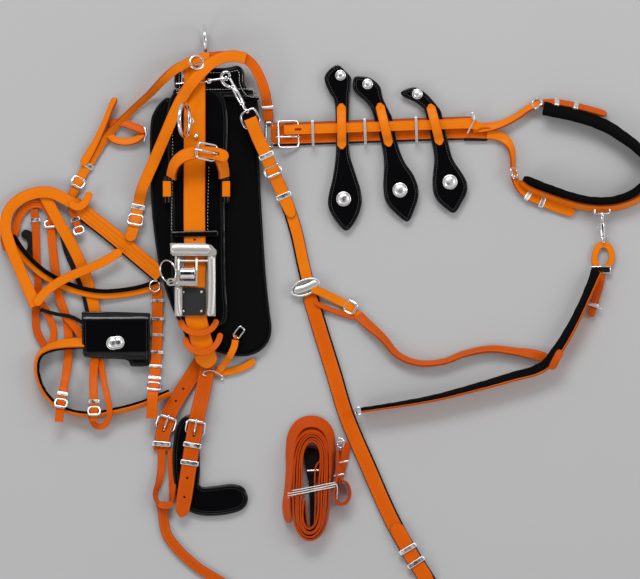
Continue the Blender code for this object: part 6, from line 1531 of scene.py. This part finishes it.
near = band_piece("near_cheek", Path(NEAR_ROUTE, CHEEK_WIDTH), tips=NONE)
low_path = Path(((95, 352, 1.15), (93.4, 378, 1.6), (94.2, 395, 4.6), (94.6, 410, 5.3), (94.6, 421, 5.2)),
                LOWER_WIDTH)
Shape().strap(low_path, "deep", HEAD).strap(
    Path(((99, 352, 0.1), (103.6, 380, 1.2), (108, 398, 4.4), (110, 411, 4.8), (108, 420, 3.2), (102, 426.5, 2.4),
          (95, 425, 2.6), (91.8, 418, 3.4), (92, 405, 3.6)), 8 * MM), "deep").on(
    near, "near_cheek_lower", "orange_strap")
Shape().keeper(low_path.spot(94.6, 401.3), 5.0 * MM).buckle(low_path.spot(94.6, 407), 10.0 * MM).on(
    near, "near_cheek_metal")
Shape().strap(Path(((62, 232), (66.5, 250), (74, 268), (83, 289), (88.5, 312)), 9 * MM, 2.0 * MM), "webbing").on(
    near, "near_cheek_backing", "black_felt")

brow_path = Path(BROW_ROUTE, BROW_WIDTH, LINING)
brow = band_piece("brow_band", brow_path, "faced", NONE, "brow_band_padded", shift=-1.5 * MM, reveal=0.6 * MM)
rows = Shape()
for share in (-0.56, 0.0, 0.42):
    rows.stitched(brow_path, BROW_WIDTH / 2 * share, 3 * MM, sink=0.1 * MM, finish="burnt_thread")
rows.on(brow, "brow_band_rows", "orange_strap")
lower_band = band_piece("lower_band", Path(LOWER_ROUTE, SIDE_WIDTH, LINING), "lined", HEAD, "lower_band_padded",
                        reveal=3.7 * MM, crease=0.2 * MM, shift=-3.7 * MM)

far_path = Path(FAR_ROUTE, FAR_WIDTH)
far = band_piece("far_cheek", far_path, "burnt", stitch=False)
branch_path = Path(((49.5, 217), (54, 262), (58.5, 295), (66.5, 320), (68.5, 340), (68, 356, 0.2), (65.5, 378, 1.5),
                    (63.3, 391, 4.8), (61.5, 404, 5.6), (59.5, 421.5, 5.6)), LOWER_WIDTH)
Shape().strap(Path(ARCH_ROUTE, FAR_WIDTH), "deep").strap(branch_path, "deep", HEAD).strap(
    Path(((41, 302, 1.15), (48, 315, 1.0), (53.5, 331, 0.1), (51, 346, 0.1)), 9 * MM), "deep").strap(
    Path(((64, 314, 1.2), (73, 324, 1.2), (84, 339, 1.0)), 11 * MM), "deep", NONE).on(
    far, "far_cheek_branches", "orange_strap")
Shape().strap(Path(((40, 309.5, 2.3), (56, 314, 2.3), (72, 317, 2.3), (83, 323, 2.3)), 5 * MM, 2.0 * MM),
              "webbing").strap(
    Path(((21, 233), (29, 236), (32, 246), (27, 258)), 12 * MM, 2.0 * MM), "webbing").on(
    far, "far_cheek_backing", "black_felt")
Shape().keeper(branch_path.spot(63, 393.7), 5.0 * MM).buckle(branch_path.spot(61.8, 399), 10.0 * MM).keeper(
    far_path.spot(35.2, 220), 5.0 * MM).buckle(branch_path.spot(50, 220), 8.0 * MM).on(far, "far_cheek_metal")

rear_cheek_path = Path(REAR_CHEEK_ROUTE, REAR_CHEEK_WIDTH)
rear_cheek = band_piece("rear_cheek", rear_cheek_path, "deep", NONE)
metal = Shape()
for py in (300.5, 319.0, 335.0, 352.5, 366.5, 378.0):
    metal.keeper(rear_cheek_path.spot(157, py), 4.0 * MM)
metal.buckle(rear_cheek_path.spot(154.5, 383), 11.0 * MM)
metal.wire(ring(at(155, 286, LIFT + 7.0 * MM), (0.35, 0.1, 1.0), 7.0 * MM, 40), 1.3 * MM, closed=True)
metal.on(rear_cheek, "rear_cheek_keepers")

BLINDER_BOTTOM = DECKS[F] + 3 * LAYER
BLINDER_FLAT = (321.5, 350.0)
BLINDER_BEND = 0.075 * MM
blinder = patent_piece("blinder", BLINDER_OUTLINE, BLINDER_BOTTOM, DROP_THICK, 1.2 * MM, 3.4 * MM)
for corner in blinder.data.vertices:
    py = CENTRE_PX[1] - corner.co.y / PIXEL
    for beyond in (BLINDER_FLAT[0] - py, py - BLINDER_FLAT[1]):
        if beyond > 0:
            corner.co.z -= min(beyond, 9.0) ** 2 * BLINDER_BEND
stud_rise = BLINDER_BOTTOM + DROP_THICK - STUD_SINK
Shape().stud(at(113.2, 343.2, stud_rise), 8.4 * MM, STUD_HEIGHT).stud(
    at(118.2, 342.4, stud_rise), 8.2 * MM, STUD_HEIGHT).on(blinder, "blinder_stud")
nose = band_piece("noseband", Path(NOSE_ROUTE, NOSE_WIDTH, LINING), "cushioned", NONE, "noseband_padded",
                  reveal=0.2 * MM, crease=0.2 * MM)

# Folded driving lines and their tie
HANK_CENTRE = (311.0, 485.5)
HANK_HALF = (24.0, 54.5)
HANK_TURNS = 4.5
HANK_PITCH = 2.6
HANK_WAIST = 5.5
HANK_STEPS = 48
FITTING_WIRE = 1.3 * MM


def edge_straps(*rows):
    """Straps of the lines, on edge: width and thickness in millimetres, then marks of pixels and lean."""
    shape = Shape()
    for width, thick, marks in rows:
        route = [(px, py, 0.0, *(lean or (90,))) for px, py, *lean in marks]
        # The lines get the darkest copy of the orange face: painted shade.
        shape.strap(Path(route, width * MM, thick * MM), "painted_dark_shade_orange", corner=0.7 * MM, groove=0.0)
    return shape


line_px = []
for step in range(round(HANK_TURNS * HANK_STEPS) + 1):
    angle = math.radians(-12 + 360 * step / HANK_STEPS)
    inward = HANK_PITCH * step / HANK_STEPS
    cosine, sine = math.cos(angle), math.sin(angle)
    wobble = 0.5 * math.sin(step * 0.21) + 0.35 * math.sin(step * 0.087 + 1)
    line_px.append((HANK_CENTRE[0] + (HANK_HALF[0] - inward) * cosine - HANK_WAIST * cosine * abs(cosine) ** 3
                    - 1.5 * sine + wobble * 0.4, HANK_CENTRE[1] + (HANK_HALF[1] - inward) * sine + wobble))
hank = edge_straps((LINE_WIDTH / MM, LINE_THICK / MM, line_px)).rides("driving_lines_webbing", "lines",
                                                                      "orange_strap", "lines_hank")
edge_straps(
    (20, 2.4, ((289, 523, 62), (286.5, 508, 62), (288, 490, 66), (290, 470, 62), (290.5, 450, 56), (293.5, 434, 50),
               (301, 424.5, 46), (311, 421.5, 44), (321, 424, 46), (328.5, 432, 54), (331.5, 447, 64),
               (332, 465, 72), (331, 480, 78))),
    (20, 2.4, ((292.5, 470, 80), (292, 452, 74), (295.5, 440, 68), (303, 431.5, 64), (312, 429, 62), (321, 432, 66),
               (327.5, 441, 72), (329, 456, 80))),
    (17, 2.0, ((318.5, 529), (319.5, 500), (322.5, 480), (323.5, 466), (320.5, 461.5), (317, 464), (315, 475),
               (315.5, 500), (314.5, 528))),
    (15, 2.0, ((305, 500), (306.5, 515), (308.5, 529))),
    (18, 2.2, ((338.5, 450, 70), (339.5, 462, 70), (338, 474, 75), (337, 484, 80), (334.5, 496, 84), (338, 503, 84),
               (344.5, 503.5, 84), (349.3, 497, 84), (349.3, 488, 84), (345, 481.5, 84), (339, 481, 84))),
    (15, 2.2, ((346, 442, 45), (345, 455, 45), (342, 468, 50), (339.5, 480, 60))),
).on(hank, "driving_lines_folds", "orange_strap")
Shape().strap(Path(BLACK_STRAP_ROUTE, 12 * MM), "webbing", groove=0.0).on(
    hank, "driving_lines_black_strap", "black_felt")
metal = Shape().wire([at(307.5, 470.5, 14 * MM), at(320, 470, 14 * MM)], FITTING_WIRE)
for px, py, half in ((340.5, 441, 3.4), (343.5, 461.5, 4.6), (338.8, 474.5, 4.6)):
    metal.wire([at(px - half, py + 0.8, LIFT + 13.5 * MM), at(px + half, py - 0.8, LIFT + 15.5 * MM)], FITTING_WIRE)
metal.wire(flowing([at(338, 438, 9 * MM), at(343.5, 440, 12 * MM), at(342.5, 447, 12 * MM), at(337.5, 446, 9 * MM)]),
           1.2 * MM, closed=True)
metal.wire(flowing([at(px, py, 12 * MM) for px, py in ((303, 531.5), (308, 533.2), (313, 533.4), (321, 530))], False),
           1.0 * MM, sides=10)
metal.on(hank, "driving_lines_metal")

TIE_LEFT, TIE_RIGHT = 288.0, 336.0
TIE_Y = 491.0
TIE_SLOPE = 0.2
TIE_STEP = 2.2
TIE_LOW = 0.9 * MM
TIE_HIGH = LIFT + LINE_WIDTH + 1.2 * MM
TIE_CORNER = 4.0
TIE_TURNS = 3
PLY = 0.34 * MM
LAY = 3.2 * MM
tie_line = []
for turn in range(TIE_TURNS):
    for index, (px, share) in enumerate((
        (TIE_LEFT + TIE_CORNER, 1.0), (TIE_RIGHT - TIE_CORNER, 1.0), (TIE_RIGHT, 0.8), (TIE_RIGHT, 0.2),
        (TIE_RIGHT - TIE_CORNER, 0.0), (TIE_LEFT + TIE_CORNER, 0.0), (TIE_LEFT, 0.2), (TIE_LEFT, 0.8),
    )):
        py = TIE_Y + TIE_STEP * (turn + index / 8) - TIE_SLOPE * (px - TIE_LEFT)
        tie_line.append(at(px, py, TIE_LOW + (TIE_HIGH - TIE_LOW) * share))
tie_line += [at(336.5, 483, TIE_HIGH), at(337.5, 488, TIE_HIGH * 0.9), at(336.8, 499, TIE_HIGH * 0.6)]
centre_line = np.array(eased(tie_line, 4.0 * MM, False, 4))
runs = runs_of(centre_line)
fine = np.arange(0.0, runs[-1], 0.5 * MM)
core = sampled(fine, runs, centre_line)
ways = unit(np.gradient(core, axis=0))
sides = unit(np.cross(ways, [0.13, 0.99, 0.05]))
others = np.cross(ways, sides)
tie = Shape()
for ply in range(3):
    turn = 2 * math.pi * (fine / LAY + ply / 3)
    strand = core + PLY * (np.cos(turn)[:, None] * sides + np.sin(turn)[:, None] * others)
    tie.wire(strand, PLY, "white_thread", sides=6)
tie.rides("lines_tie_twine", "lines", "white_cord", "lines_tie")

# Floor, light and camera
FLOOR_HALF = 7.0
FLOOR_Z = -0.2 * MM
floor_mesh = bpy.data.meshes.new("floor")
floor_mesh.from_pydata([(x * FLOOR_HALF, y * FLOOR_HALF, FLOOR_Z) for x, y in ((-1, -1), (1, -1), (1, 1), (-1, 1))],
                       [], [(0, 1, 2, 3)])
floor = bpy.data.objects.new("floor", floor_mesh)
bpy.context.scene.collection.objects.link(floor)
floor_look = Look("floor_grey", (0.5, 0.5, 0.5), 0.9, Specular_IOR_Level=0.1)
floor_look.colour(floor_look.mix(floor_look.noise(3.0, 2.0), (0.49, 0.49, 0.49), (0.51, 0.51, 0.51)))
floor_mesh.materials.append(floor_look.material)

SKY_STRENGTH = 0.74
SKY_STOPS = ((0.0, 0.5), (0.45, 0.95), (0.8, 0.9), (0.9, 0.3), (0.955, 0.02), (1.0, 0.012))
world = bpy.data.worlds.new("studio")
bpy.context.scene.world = world
world.use_nodes = True
sky = world.node_tree
backdrop = sky.nodes["Background"]
direction = sky.nodes.new("ShaderNodeTexCoord")
parts = sky.nodes.new("ShaderNodeSeparateXYZ")
band = sky.nodes.new("ShaderNodeValToRGB")
sky.links.new(direction.outputs["Generated"], parts.inputs["Vector"])
sky.links.new(parts.outputs["Z"], band.inputs["Fac"])
sky.links.new(band.outputs["Color"], backdrop.inputs["Color"])
while len(band.color_ramp.elements) < len(SKY_STOPS):
    band.color_ramp.elements.new(0.5)
for element, (place, tone) in zip(band.color_ramp.elements, SKY_STOPS):
    element.position = place
    element.color = (tone, tone, tone * 1.03, 1.0)
backdrop.inputs["Strength"].default_value = SKY_STRENGTH

AIM = Vector((0.144, -0.084, 0.0))
for name, place, size, power in (
    ("key_light", (-0.2, 2.4, 2.4), (2.0, 1.0), 53.0),
    ("side_light", (2.2, 0.3, 1.6), (0.5, 1.2), 11.0),
    ("low_light", (-1.7, -1.3, 1.5), (0.8, 0.8), 9.0),
):
    data = bpy.data.lights.new(name, "AREA")
    data.shape = "RECTANGLE"
    data.size, data.size_y = size
    data.energy = power
    lamp = bpy.data.objects.new(name, data)
    lamp.location = place
    lamp.rotation_mode = "QUATERNION"
    lamp.rotation_quaternion = (AIM - Vector(place)).to_track_quat("-Z", "Y")
    bpy.context.scene.collection.objects.link(lamp)

CAMERA_RISE = 5.0
CAMERA_LEVEL = 10 * MM
camera_data = bpy.data.cameras.new("camera")
camera = bpy.data.objects.new("camera", camera_data)
bpy.context.scene.collection.objects.link(camera)
view_centre = at(PHOTO_SIZE[0] / 2, PHOTO_SIZE[1] / 2)
camera.location = (view_centre.x, view_centre.y, CAMERA_RISE)
camera_data.sensor_width = 36.0
camera_data.lens = camera_data.sensor_width * (CAMERA_RISE - CAMERA_LEVEL) / (PHOTO_SIZE[0] * PIXEL)
camera_data.clip_start = 0.1
camera_data.clip_end = 60.0
bpy.context.scene.camera = camera
bpy.context.scene.view_settings.view_transform = "Standard"
